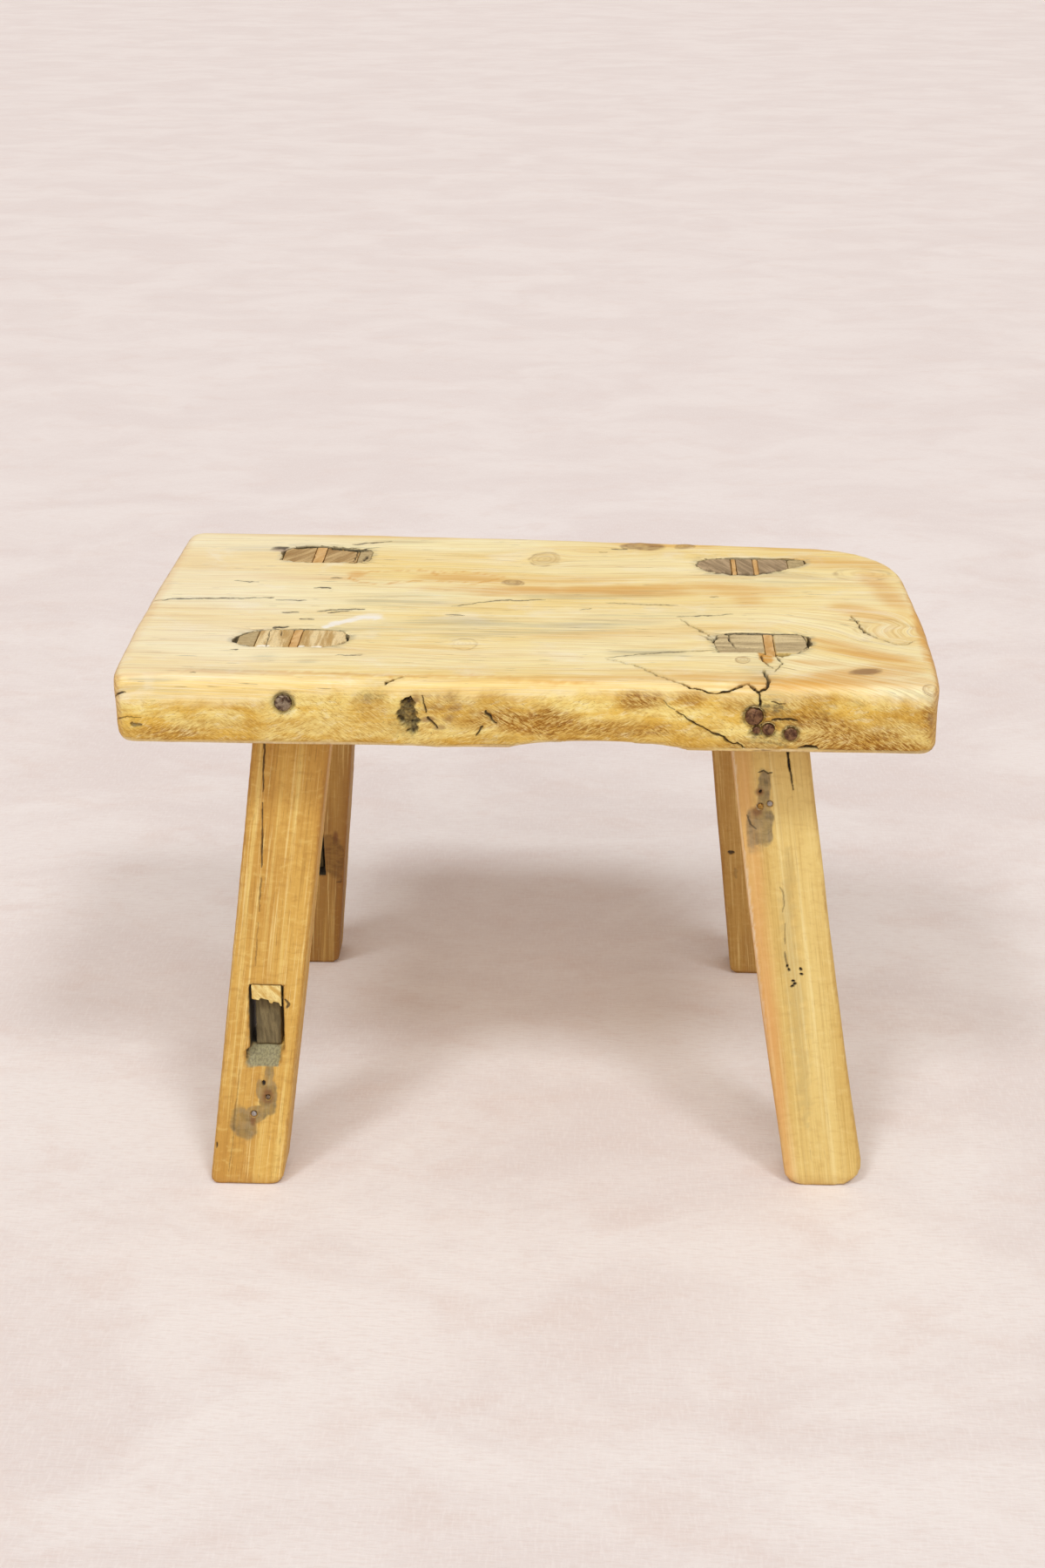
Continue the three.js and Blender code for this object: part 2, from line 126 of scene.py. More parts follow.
def stroke(uv, points, width, soft=0.35, taper=True, wobble=0.5, seed=0):
    """1 in the middle of a line of the given width, 0 outside it."""
    out = np.zeros(len(uv))
    points = np.asarray(points, float)
    near = boxed(uv, points.min(0), points.max(0), width * (1 + soft) + 2 * wobble + 1)
    if not len(near):
        return out
    uv = uv[near]
    far = np.column_stack([uv, np.zeros(len(uv))])
    sway = np.column_stack([noise(far, 3.2, seed + 5), noise(far, 3.2, seed + 9)])
    jitter = np.column_stack([noise(far, 1.1, seed + 6), noise(far, 1.1, seed + 8)])
    d, t = to_line(uv + wobble * sway + 0.3 * wobble * jitter, points)
    half = width / 2 * (np.sqrt(np.clip(4 * t * (1 - t), 0, 1)) * 0.75 + 0.25 if taper else 1.0)
    half = half * (1 + 0.45 * noise(far, 3.0, seed + 3))
    out[near] = 1 - smooth(d, half * (1 - soft), half * (1 + soft) + 0.1)
    return out


def blob(uv, centre, radii, turn=0.0, ragged=0.25, soft=0.35, seed=0, grain=6.0, power=2):
    """1 inside a ragged oval, 0 outside it. turn is in degrees, against the clock.
    A high power squares its corners."""
    out = np.zeros(len(uv))
    near = boxed(uv, centre, centre, max(radii) * (1 + soft + ragged))
    if not len(near):
        return out
    uv = uv[near]
    a = math.radians(turn)
    d = uv - np.asarray(centre, float)
    u = (d[:, 0] * math.cos(a) + d[:, 1] * math.sin(a)) / radii[0]
    v = (-d[:, 0] * math.sin(a) + d[:, 1] * math.cos(a)) / radii[1]
    far = np.column_stack([uv, np.zeros(len(uv))])
    r = (np.abs(u) ** power + np.abs(v) ** power) ** (1 / power)
    r = r + ragged * noise(far, (grain * 2.2, grain, 9), seed + 17, 3)
    out[near] = 1 - smooth(r, 1 - soft, 1 + soft)
    return out


def points_of(mesh):
    out = np.empty(len(mesh.vertices) * 3)
    mesh.vertices.foreach_get("co", out)
    return out.reshape(-1, 3)


def normals_of(mesh):
    out = np.empty(len(mesh.vertices) * 3)
    mesh.vertices.foreach_get("normal", out)
    return out.reshape(-1, 3)


def write_points(mesh, points):
    mesh.vertices.foreach_set("co", points.ravel())
    mesh.update()


def paint(mesh, name, values):
    """Store a number or a vector at each point, for the material to read."""
    kind, field = ("FLOAT_VECTOR", "vector") if values.ndim == 2 else ("FLOAT", "value")
    layer = mesh.attributes.new(name, kind, "POINT")
    layer.data.foreach_set(field, np.ascontiguousarray(values, dtype=np.float32).ravel())


def paint_all(mesh, **layers):
    for name, values in layers.items():
        paint(mesh, name, np.clip(values, 0, None))


def highest(*fields):
    """The largest of several fields at each point."""
    return functools.reduce(np.maximum, fields)


# ---------------------------------------------------------------- dense copies of CAD nodes


def dense(node, voxel, nearness=None, bands=()):
    """A fine even mesh on the surface of a CAD node. bands are distances in mm: within each in turn
    of the marks that nearness measures, the mesh is divided once more."""
    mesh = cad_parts[node].data.copy()
    bm = bmesh.new()
    bm.from_mesh(mesh)
    bmesh.ops.remove_doubles(bm, verts=bm.verts, dist=1e-6)
    tree = BVHTree.FromBMesh(bm)
    bm.to_mesh(mesh)
    bm.free()
    piece = bpy.data.objects.new("look_" + node, mesh)
    bpy.context.scene.collection.objects.link(piece)
    grid = piece.modifiers.new("grid", "REMESH")
    grid.mode = "VOXEL"
    grid.voxel_size = voxel
    grid.use_smooth_shade = True
    depsgraph = bpy.context.evaluated_depsgraph_get()
    made = bpy.data.meshes.new_from_object(piece.evaluated_get(depsgraph))
    piece.modifiers.clear()
    piece.data = made
    bm = bmesh.new()
    bm.from_mesh(made)
    for band in bands:
        bm.verts.index_update()
        places = np.array([v.co for v in bm.verts]) / MM
        near = nearness(places) < band
        edges = [e for e in bm.edges if near[e.verts[0].index] and near[e.verts[1].index]]
        bmesh.ops.subdivide_edges(bm, edges=edges, cuts=1, use_grid_fill=True)
        bmesh.ops.triangulate(bm, faces=[f for f in bm.faces if len(f.verts) > 4])
    for v in bm.verts:
        v.co = tree.find_nearest(v.co)[0]
    bmesh.ops.dissolve_degenerate(bm, dist=2e-5, edges=bm.edges)
    bmesh.ops.recalc_face_normals(bm, faces=bm.faces)
    bm.to_mesh(made)
    bm.free()
    made.shade_smooth()
    return piece


def place(piece, node, material):
    """The piece stands for a CAD node, rides on the frame and takes its material."""
    piece.data.materials.clear()
    piece.data.materials.append(material)
    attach(piece, "root")
    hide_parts(node)
    return piece


# ---------------------------------------------------------------- node graphs


def tint(code):
    """A colour code as linear light."""
    parts = [int(code[i : i + 2], 16) / 255 for i in (0, 2, 4)]
    return tuple(c / 12.92 if c <= 0.04045 else ((c + 0.055) / 1.055) ** 2.4 for c in parts) + (1.0,)


class Graph:
    """A material under construction."""

    def __init__(self, name):
        self.material = bpy.data.materials.new(name)
        self.material.use_nodes = True
        self.tree = self.material.node_tree
        self.tree.nodes.clear()
        self.shader = self.tree.nodes.new("ShaderNodeBsdfPrincipled")
        out = self.tree.nodes.new("ShaderNodeOutputMaterial")
        self.tree.links.new(self.shader.outputs[0], out.inputs[0])

    def wire(self, value, socket):
        if isinstance(value, bpy.types.NodeSocket):
            self.tree.links.new(value, socket)
        else:
            socket.default_value = value

    def attribute(self, name, part="Fac"):
        node = self.tree.nodes.new("ShaderNodeAttribute")
        node.attribute_name = name
        return node.outputs[part]

    def place(self):
        return self.tree.nodes.new("ShaderNodeTexCoord").outputs["Object"]

    def math(self, operation, a, b=0.0):
        node = self.tree.nodes.new("ShaderNodeMath")
        node.operation = operation
        self.wire(a, node.inputs[0])
        self.wire(b, node.inputs[1])
        return node.outputs[0]

    def add(self, a, b):
        return self.math("ADD", a, b)

    def times(self, a, b):
        return self.math("MULTIPLY", a, b)

    def mix(self, amount, a, b):
        node = self.tree.nodes.new("ShaderNodeMix")
        node.data_type = "RGBA"
        node.clamp_factor = True
        self.wire(amount, node.inputs[0])
        self.wire(a, node.inputs[6])
        self.wire(b, node.inputs[7])
        return node.outputs[2]

    def step(self, value, low, high, to_low=0.0, to_high=1.0):
        node = self.tree.nodes.new("ShaderNodeMapRange")
        node.interpolation_type = "SMOOTHSTEP"
        self.wire(value, node.inputs[0])
        for i, v in enumerate((low, high, to_low, to_high)):
            node.inputs[i + 1].default_value = v
        return node.outputs[0]

    def layers(self, colour, rows):
        """Lay colours over one another. Each row is a pattern, where it starts to show and where it shows
        in full, how strongly, and its colour."""
        for pattern, low, high, amount, code in rows:
            colour = self.mix(self.times(self.step(pattern, low, high), amount), colour, tint(code))
        return colour

    def mapped(self, vector, socket, values):
        node = self.tree.nodes.new("ShaderNodeMapping")
        self.wire(vector, node.inputs[0])
        node.inputs[socket].default_value = values
        return node

    def pattern(self, vector, scale, detail, rough=0.55, twist=0.0, turn=(0, 0, 0), shift=(0, 0, 0)):
        """Noise over a place that is turned in degrees, then stretched and shifted. scale is per metre."""
        if any(turn):
            vector = self.mapped(vector, 2, [math.radians(t) for t in turn]).outputs[0]
        place_node = self.mapped(vector, 3, scale)
        place_node.inputs[1].default_value = shift
        node = self.tree.nodes.new("ShaderNodeTexNoise")
        self.wire(place_node.outputs[0], node.inputs["Vector"])
        node.inputs["Scale"].default_value = 1.0
        node.inputs["Detail"].default_value = detail
        node.inputs["Roughness"].default_value = rough
        node.inputs["Distortion"].default_value = twist
        return node.outputs[0]

    def coat(self, colour, amount, code):
        """Lay a colour over another where a painted attribute, or the given value, says."""
        if isinstance(amount, str):
            amount = self.attribute(amount)
        return self.mix(amount, colour, tint(code))

    def finish(self, colour, roughness, height, depth, metallic=0.0, specular=0.4):
        self.wire(colour, self.shader.inputs["Base Color"])
        self.wire(roughness, self.shader.inputs["Roughness"])
        self.wire(metallic, self.shader.inputs["Metallic"])
        self.shader.inputs["Specular IOR Level"].default_value = specular
        bump = self.tree.nodes.new("ShaderNodeBump")
        bump.inputs["Strength"].default_value = 1.0
        bump.inputs["Distance"].default_value = depth
        self.wire(height, bump.inputs["Height"])
        self.tree.links.new(bump.outputs[0], self.shader.inputs["Normal"])
        return self.material


# ---------------------------------------------------------------- the seat's marks

# x is along the seat. s runs over the top from the back, round the front edge and down the front
# face: on the top it is y, and on the front face it is the front edge less the drop from the top.


def face(x, z):
    """A place on the front face as (x, s)."""
    return (x, FRONT - (TOP - z))


CRACKS = [  # points, width, depth, darkness
    ([(-207, -10), (-196, -6), (-168, -4), (-142, -2)], 2.4, 0.3, 1.0),
    ([(80, -26), (85, -35), (90, -44), (97, -57)], 1.1, 2.0, 0.95),
    ([(89, -50), (96, -58), (99, -62)], 2.2, 3.0, 1.0),
    ([(79, -23), (95, -21), (109, -18)], 1.2, 0.15, 0.85),
    ([(41, -85), (52, -81), (64, -78), (80, -75), (97, -73)], 1.5, 0.15, 0.75),
    (
        [(41, -86), (50, -91), (57, -96), (64, -104), (70, -111), (80, -119), (89, -123), (97, -125)],
        1.3, 2.5, 1.0,
    ),
    ([(97, -125), (103, -123), (108, -119), (112, -117), (116, -121), (118, -124)], 2.4, 3.0, 1.0),
    ([(118, -124), (121, -121), (123, -113), (122, -105), (121, -98)], 2.5, 3.0, 1.0),
    ([(118, -124), (119, -129), (118, -134), (117, -139)], 1.6, 2.5, 1.0),
    ([(120, -79), (124, -75), (129, -80), (131, -88), (129, -96), (126, -101)], 1.3, 1.2, 0.9),
    ([(120, -79), (122, -88), (126, -97)], 1.3, 1.2, 0.9),
    ([face(76, 281), face(87, 274), face(102, 266), face(116, 258)], 1.3, 1.8, 0.95),
    ([face(70, 286), face(76, 281)], 0.7, 0.5, 0.6),
    ([(-70, -122), (-65, -118), (-60, -114)], 2.6, 3.0, 1.0),
    ([face(-51, 287), face(-49, 277)], 1.0, 1.2, 0.9),
    ([face(-19, 280), face(-14, 272)], 1.6, 1.6, 0.95),
    ([face(-20, 271), face(-24, 265)], 1.2, 1.2, 0.9),
    ([face(-48, 275), face(-43, 269)], 1.3, 1.4, 0.9),
    ([face(-61, 283), face(-57, 286), face(-54, 283)], 1.6, 1.5, 1.0),
    ([face(125, 276), face(131, 277), face(138, 277)], 1.2, 1.2, 0.9),
    ([face(124, 286), face(131, 285)], 0.9, 0.8, 0.8),
    ([face(138, 261), face(143, 262), face(148, 261)], 3.2, 2.5, 1.0),
    ([face(-209, 287), face(-201, 286)], 1.0, 1.0, 0.9),
    ([face(-200, 269), face(-194, 268)], 2.2, 1.0, 0.7),
    ([face(-208, 274), face(-194, 272)], 0.7, 0.5, 0.6),
    ([(173, -18), (175, -30), (178, -45), (184, -53), (190, -59), (197, -60), (203, -55)], 1.6, 1.8, 1.0),
    ([(171, -24), (176, -27)], 1.6, 0.15, 1.0),
    ([(-108, 91), (-98, 94), (-87, 97)], 1.5, 0.15, 0.95),
    ([(-98, 84), (-90, 87)], 1.8, 0.15, 0.85),
    ([(-169, 24), (-155, 22)], 1.5, 0.15, 0.85),
    ([(-122, 15), (-113, 14)], 1.8, 0.15, 0.95),
    ([(-141, -6), (-124, -6)], 1.5, 0.15, 0.9),
    ([(-134, -26), (-125, -25)], 2.0, 0.15, 1.0),
    ([(-123, -36), (-116, -36)], 2.2, 0.15, 1.0),
    ([(-116, -24), (-104, -20), (-90, -19)], 2.3, 0.15, 0.9),
    ([(-110, -26), (-97, -21)], 1.8, 0.15, 0.8),
    ([(-137, -48), (-128, -47)], 2.3, 0.15, 0.95),
    ([(-46, -25), (-36, -26)], 2.0, 0.15, 0.75),
    ([(-115, 31), (-108, 31)], 2.0, 0.15, 0.85),
    ([(-43, -13), (-30, -6), (-19, -2), (7, 0)], 1.8, 0.15, 0.75),
    ([(43, 88), (52, 88)], 1.9, 0.15, 0.85),
    ([(36, 82), (41, 82)], 1.5, 0.15, 0.7),
    ([(26, -15), (33, -12)], 1.4, 0.15, 0.65),
    ([(98, 8), (103, 9)], 1.4, 0.15, 0.7),
    ([(40, -3), (70, -5), (80, -6)], 1.2, 0.15, 0.8),
    ([(-154, -82), (-150, -82)], 1.8, 0.15, 0.95),
    ([(-169, -114), (-166, -114)], 1.4, 0.15, 0.9),
    ([(-98, -87), (-84, -87)], 1.2, 0.15, 0.75),
]

KNOTS = [  # centre, size along and across, how far it bends the grain, how brown it is
    ((5, 68), (9.5, 12), 1.0, 0.45),
    ((-12, 27), (6.5, 5), 0.8, 0.85),
    ((-33, -69), (7, 8), 0.7, 0.15),
    ((62, 93), (13, 7), 0.8, 0.9),
    ((86, 94), (6, 5), 0.6, 0.8),
    ((186, 48), (16, 10), 0.9, 0.25),
    ((190, -42), (17, 19), 1.0, 0.0),
    ((111, -86), (4, 5), 0.6, 0.5),
    ((203, -119), (4.5, 5), 0.6, 0.5),
]

AMBER = [  # centre, radii, turn, strength
    ((-7, 14), (46, 7), 0, 0.75),
    ((55, 17), (40, 9), 2, 0.75),
    ((108, 22), (26, 9), -4, 0.6),
    ((118, 6), (9, 10), 20, 0.55),
    ((20, 33), (40, 6), 3, 0.4),
    ((-135, 31), (50, 5), 0, 0.35),
    ((-190, 30), (18, 40), 10, 0.12),
    ((-170, -60), (34, 22), 0, 0.1),
    ((150, -114), (46, 7), 3, 0.85),
    ((166, -104), (34, 10), 16, 0.75),
    ((92, -111), (22, 5), 0, 0.7),
    ((40, -114), (50, 4), 2, 0.55),
    ((178, -10), (18, 8), -35, 0.6),
    ((196, 20), (8, 34), 12, 0.6),
    ((175, 68), (30, 8), -12, 0.55),
    ((150, 95), (40, 6), -8, 0.35),
    ((-70, 105), (140, 4), 0, 0.3),
    ((-207, 20), (4, 110), 0, 0.45),
    ((209, -40), (4, 90), 0, 0.9),
    ((70, 98), (30, 6), 0, 0.6),
    ((-35, 34), (30, 7), 0, 0.55),
    ((180, -78), (26, 6), -24, 0.8),
    ((160, -60), (22, 4), -24, 0.6),
    ((150, -88), (16, 4), -10, 0.5),
    ((60, -50), (60, 8), 8, 0.22),
    ((-60, -80), (70, 8), 0, 0.2),
]

FUZZ = [  # darker fibrous patches on the front face: centre, radii, turn, strength
    (face(-182, 264), (26, 6), 0, 0.75),
    (face(-150, 283), (22, 5), -12, 0.4),
    (face(-120, 268), (60, 6), 0, 0.35),
    (face(-75, 282), (9, 8), 0, 0.45),
    (face(-36, 287), (12, 6), -20, 0.5),
    (face(-30, 276), (14, 9), 0, 0.45),
    (face(-12, 286), (14, 6), 0, 0.5),
    (face(5, 272), (26, 9), -6, 1.0),
    (face(50, 270), (36, 5), 0, 0.8),
    (face(58, 287), (12, 5), 6, 0.9),
    (face(84, 288), (8, 4), 0, 0.7),
    (face(107, 286), (9, 7), 30, 0.55),
    (face(140, 288), (16, 8), 0, 0.6),
    (face(150, 275), (26, 8), -10, 0.85),
    (face(165, 266), (34, 7), 8, 0.9),
    (face(190, 276), (16, 12), 0, 0.5),
    (face(115, 262), (20, 4), 0, 0.7),
    (face(203, 280), (4, 16), 0, 0.8),
    (face(172, 262), (34, 4), 0, 1.0),
    (face(30, 262), (44, 3), 0, 0.8),
]

GREY = [  # spalted and iron-stained patches: centre, radii, turn, strength
    ((-45, -40), (42, 9), 6, 0.55),
    ((20, -40), (56, 10), 14, 0.5),
    ((40, 8), (40, 6), 6, 0.4),
    ((-70, -5), (34, 10), 0, 0.45),
    ((62, -78), (22, 5), -3, 0.6),
    ((-188, -122), (14, 3), 0, 0.6),
    ((-150, -110), (20, 4), 0, 0.3),
    ((-135, -92), (8, 5), 0, 0.45),
    ((-112, -96), (5, 3), 0, 0.35),
    ((140, 40), (30, 10), 10, 0.3),
    (face(125, 284), (9, 8), 0, 0.85),
    (face(126, 268), (14, 9), 0, 0.6),
    (face(150, 281), (7, 6), 0, 0.35),
    (face(167, 283), (3, 5), 20, 0.5),
    (face(-59, 276), (8, 11), 0, 0.4),
    (face(-75, 289), (9, 5), 20, 0.45),
    (face(-15, 262), (12, 4), 0, 0.35),
    (face(-190, 287), (20, 3), 0, 0.4),
    (face(192, 292), (14, 4), 0, 0.4),
    ((-80, 96), (16, 4), 0, 0.3),
    ((-160, 80), (22, 5), 0, 0.35),
    ((120, -100), (10, 14), 0, 0.35),
]

AMBER_OUTLINES = [  # the drawn edge of a long golden patch
    [(-104, 30), (-102, 38), (-92, 43), (-76, 45), (-59, 46), (-55, 38)],
    [(-104, 30), (-98, 24), (-86, 22), (-70, 27), (-55, 30), (-45, 25), (-33, 25), (-20, 33)],
    [(-58, 44), (-38, 45), (-17, 37)],
]

ARRIS_LINE = [  # an amber line along the worn front edge
    (-206, -119), (-164, -111), (-97, -113), (-62, -114), (-27, -112), (15, -118),
    (27, -116), (56, -113), (89, -109), (101, -112), (135, -115), (205, -117),
]

NAIL_HEADS = (  # in the front face: x, z, diameter
    (-121.3, 281.6, 9.3), (115.7, 278.2, 9.5), (123.2, 271.3, 6.4), (134.5, 268.9, 7.0), (117.3, 270.8, 4.2),
)
TOP_NAIL = (-151.2, 81.7)
BURL_X = -42  # middle of the swelling on the front face
HOLLOW = face(-58, 277)
# Splinters along the front of the front left tenon: from x to x.
SEAT_SPLINTERS = ((-139, -131), (-121, -113), (-109, -103))
TENON_SPLINTERS = ((-141, -134), (-124, -116.5), (-112, -107))


class Tenon:
    """A tenon's place at the seat's top: its straight CAD sides and the worn, rounded mouth round it."""

    def __init__(self, sides, outline, gaps, cracks):
        (x0, x1), (y0, y1) = sides
        self.seed = int(x0) + 500
        self.centre = np.array([(x0 + x1) / 2, (y0 + y1) / 2])
        self.half = np.array([(x1 - x0) / 2, (y1 - y0) / 2])
        self.gaps = gaps
        self.cracks = cracks
        ring = []
        for a, b in zip(outline, outline[1:] + outline[:1]):
            ring += [np.array(a) + (np.array(b) - a) * t for t in np.linspace(0, 1, 16, endpoint=False)]
        d = np.array(ring) - self.centre
        angle = np.arctan2(d[:, 1], d[:, 0])
        order = np.argsort(angle)
        self.angles = angle[order]
        self.radii = np.hypot(d[:, 0], d[:, 1])[order]

    def polar(self, xy):
        """How far each place is beyond the straight sides and beyond the worn mouth, its direction from
        the middle, and how far the mouth is beyond the sides."""
        d = xy - self.centre
        r = np.maximum(np.hypot(d[:, 0], d[:, 1]), 1e-6)
        way = d / r[:, None]
        straight = 1 / np.maximum(np.abs(way[:, 0]) / self.half[0], np.abs(way[:, 1]) / self.half[1])
        far = np.column_stack([self.centre + way * straight[:, None], np.zeros(len(xy))])
        worn = np.interp(np.arctan2(d[:, 1], d[:, 0]), self.angles, self.radii, period=2 * math.pi)
        worn = worn + 0.55 * noise(far, 3.0, self.seed, 3)
        return r - straight, r - worn, way, worn - straight

    def rim(self, xy):
        """Distance from the straight sides, inside or outside them."""
        d = np.abs(xy - self.centre) - self.half
        out = np.hypot(np.maximum(d[:, 0], 0), np.maximum(d[:, 1], 0))
        return np.abs(out + np.minimum(np.maximum(d[:, 0], d[:, 1]), 0))


TENONS = {
    "front_left": Tenon(
        sides=((-152.4, -93.0), (-76.4, -49.8)),
        outline=[
            (-154.8, -67), (-153.7, -62), (-148.5, -56), (-144, -52.4), (-136.5, -51), (-124, -49.8),
            (-105, -50), (-98, -52.3), (-93.5, -59), (-93.7, -66), (-97.5, -71.6), (-105, -74.3),
            (-114, -75), (-128, -74.8), (-141, -75), (-148.7, -73.7), (-153.7, -71),
        ],
        gaps=[
            ([(-99, -72), (-95.6, -67), (-94.4, -60), (-96, -55)], 1.9),
            ([(-120, -74.6), (-113, -75.2)], 1.6),
            ([(-107, -74.6), (-103, -74)], 1.5),
        ],
        cracks=[([(-137, -50), (-136, -75)], 0.5), ([(-131, -51), (-130, -60)], 0.5)],
    ),
    "front_right": Tenon(
        sides=((97.1, 146.7), (-74.0, -45.0)),
        outline=[
            (97.6, -61), (98.9, -50.4), (104, -47.4), (110, -45.6), (120, -45.4), (129, -46.6),
            (143, -46.8), (147.4, -51.4), (147.6, -61), (145, -68.7), (137.2, -75), (131, -80),
            (127.3, -75.5), (118.3, -72.5), (109, -73.2), (99.8, -73.6), (98, -67.7),
        ],
        gaps=[
            ([(103, -48), (110.3, -46.6), (115, -46.4), (121, -46.4)], 2.4),
            ([(98.6, -51), (98.2, -57)], 1.4),
        ],
        cracks=[
            ([(105.2, -48.8), (106, -58), (108.5, -69)], 0.9),
            ([(144.4, -48.5), (146.2, -54.9), (146, -63.5), (144, -68)], 1.1),
            ([(98, -66), (110, -67.5), (122, -66.5)], 0.5),
        ],
    ),
    "back_left": Tenon(
        sides=((-147.4, -95.1), (57.7, 86.5)),
        outline=[
            (-147, 61.5), (-148, 76), (-143.8, 83), (-135.5, 87), (-126.6, 86.6), (-115.6, 84.5),
            (-105.8, 82), (-98, 81.6), (-95.4, 76.9), (-95.6, 66.2), (-97, 60), (-104.3, 58.6),
            (-113, 58.6), (-128.3, 58.2), (-139, 59),
        ],
        gaps=[
            ([(-142, 82.6), (-136, 84), (-131, 84)], 2.6),
            ([(-121, 83), (-115.3, 82), (-105.5, 80.2), (-98.4, 80)], 4.4),
        ],
        cracks=[([(-104.4, 78), (-105, 60)], 0.6), ([(-98, 72), (-99.5, 62)], 1.3)],
    ),
    "back_right": Tenon(
        sides=((91.7, 154.6), (45.0, 73.8)),
        outline=[
            (92.2, 62), (93.4, 69), (99, 72.6), (112.9, 74.4), (123.4, 74.6), (135.3, 73.8),
            (144, 74.4), (154.6, 72.8), (155.4, 67), (151.5, 61), (143.5, 56), (134, 51),
            (123.4, 46), (111.6, 45.4), (101.7, 49.5), (95, 54.5),
        ],
        gaps=[([(95.5, 56), (101.7, 51.5), (110, 48.4), (121.9, 47.6), (134, 52), (141, 56)], 3.6)],
        cracks=[
            ([(93, 66), (100, 60)], 0.6),
            ([(140, 66), (154, 65.6)], 0.5),
            ([(142, 69), (154, 68.6)], 0.5),
            ([(142, 62), (152, 62.4)], 0.5),
        ],
    ),
}


def rim_distance(xy):
    """Distance in mm from each place on the top to the nearest tenon's straight sides."""
    return np.minimum.reduce([tenon.rim(xy) for tenon in TENONS.values()])


def sink_tenons(p, wedge=False):
    """How far wear has lowered the tenon tops where the mouths close over them, and where gaps are open, and
    how dark each place is painted: painted shade in the open gaps, grime and painted shade in the cracks.
    """
    down = np.zeros(len(p))
    dark = np.zeros(len(p))
    high = smooth(p[:, 2], TOP - 7, TOP - 3)
    for i, tenon in enumerate(TENONS.values()):
        near = boxed(p[:, :2], tenon.centre, tenon.centre, max(tenon.half) + 8)
        if not len(near):
            continue
        xy = p[near, :2]
        _, beyond, _, _ = tenon.polar(xy)
        down[near] = np.maximum(down[near], 1.8 * smooth(beyond, -0.35, 0.35))
        if wedge:
            continue
        # the open gaps are painted dark: painted shade
        for line, width in tenon.gaps:
            mask = stroke(xy, line, width, 0.3, True, 0.8, 700 + i)
            down[near] = np.maximum(down[near], 4.5 * mask)
            dark[near] = np.maximum(dark[near], mask)
        for line, width in tenon.cracks:
            mask = stroke(xy, line, width, 0.3, True, 0.4, 720 + i)
            down[near] = np.maximum(down[near], 1.4 * mask)
            dark[near] = np.maximum(dark[near], 0.9 * mask)
    return down * high, dark * high


def seat_uv(p):
    """Each point as (x, s)."""
    return np.column_stack([p[:, 0], p[:, 1] - (TOP - p[:, 2])])


def patches(uv, marks, ragged, soft, seed, grain):
    """The strongest at each place of a list of ragged ovals."""
    out = np.zeros(len(uv))
    for i, (centre, radii, turn, strength) in enumerate(marks):
        out = np.maximum(out, strength * blob(uv, centre, radii, turn, ragged, soft, seed + i, grain))
    return out


def seat_nearness(p):
    """Distance in mm from the nearest mark that needs a finer mesh."""
    uv = seat_uv(p)
    best = np.full(len(p), 1e9)
    for line, width, _, _ in CRACKS:
        best = np.minimum(best, to_line(uv, line)[0] - width / 2)
    best = np.where(p[:, 2] > TOP - 3, np.minimum(best, rim_distance(p[:, :2])), best)
    for centre, radii, _, _ in KNOTS:
        d = (uv - centre) / radii
        best = np.minimum(best, np.maximum(np.hypot(d[:, 0], d[:, 1]) - 1.1, 0) * min(radii) + 1.6)
    burl = np.hypot(uv[:, 0] - HOLLOW[0], uv[:, 1] - face(0, 276)[1]) - 11
    best = np.minimum(best, np.maximum(burl, 0) + 1.6)
    return np.where(p[:, 2] < BOTTOM + 0.5, 1e9, best)


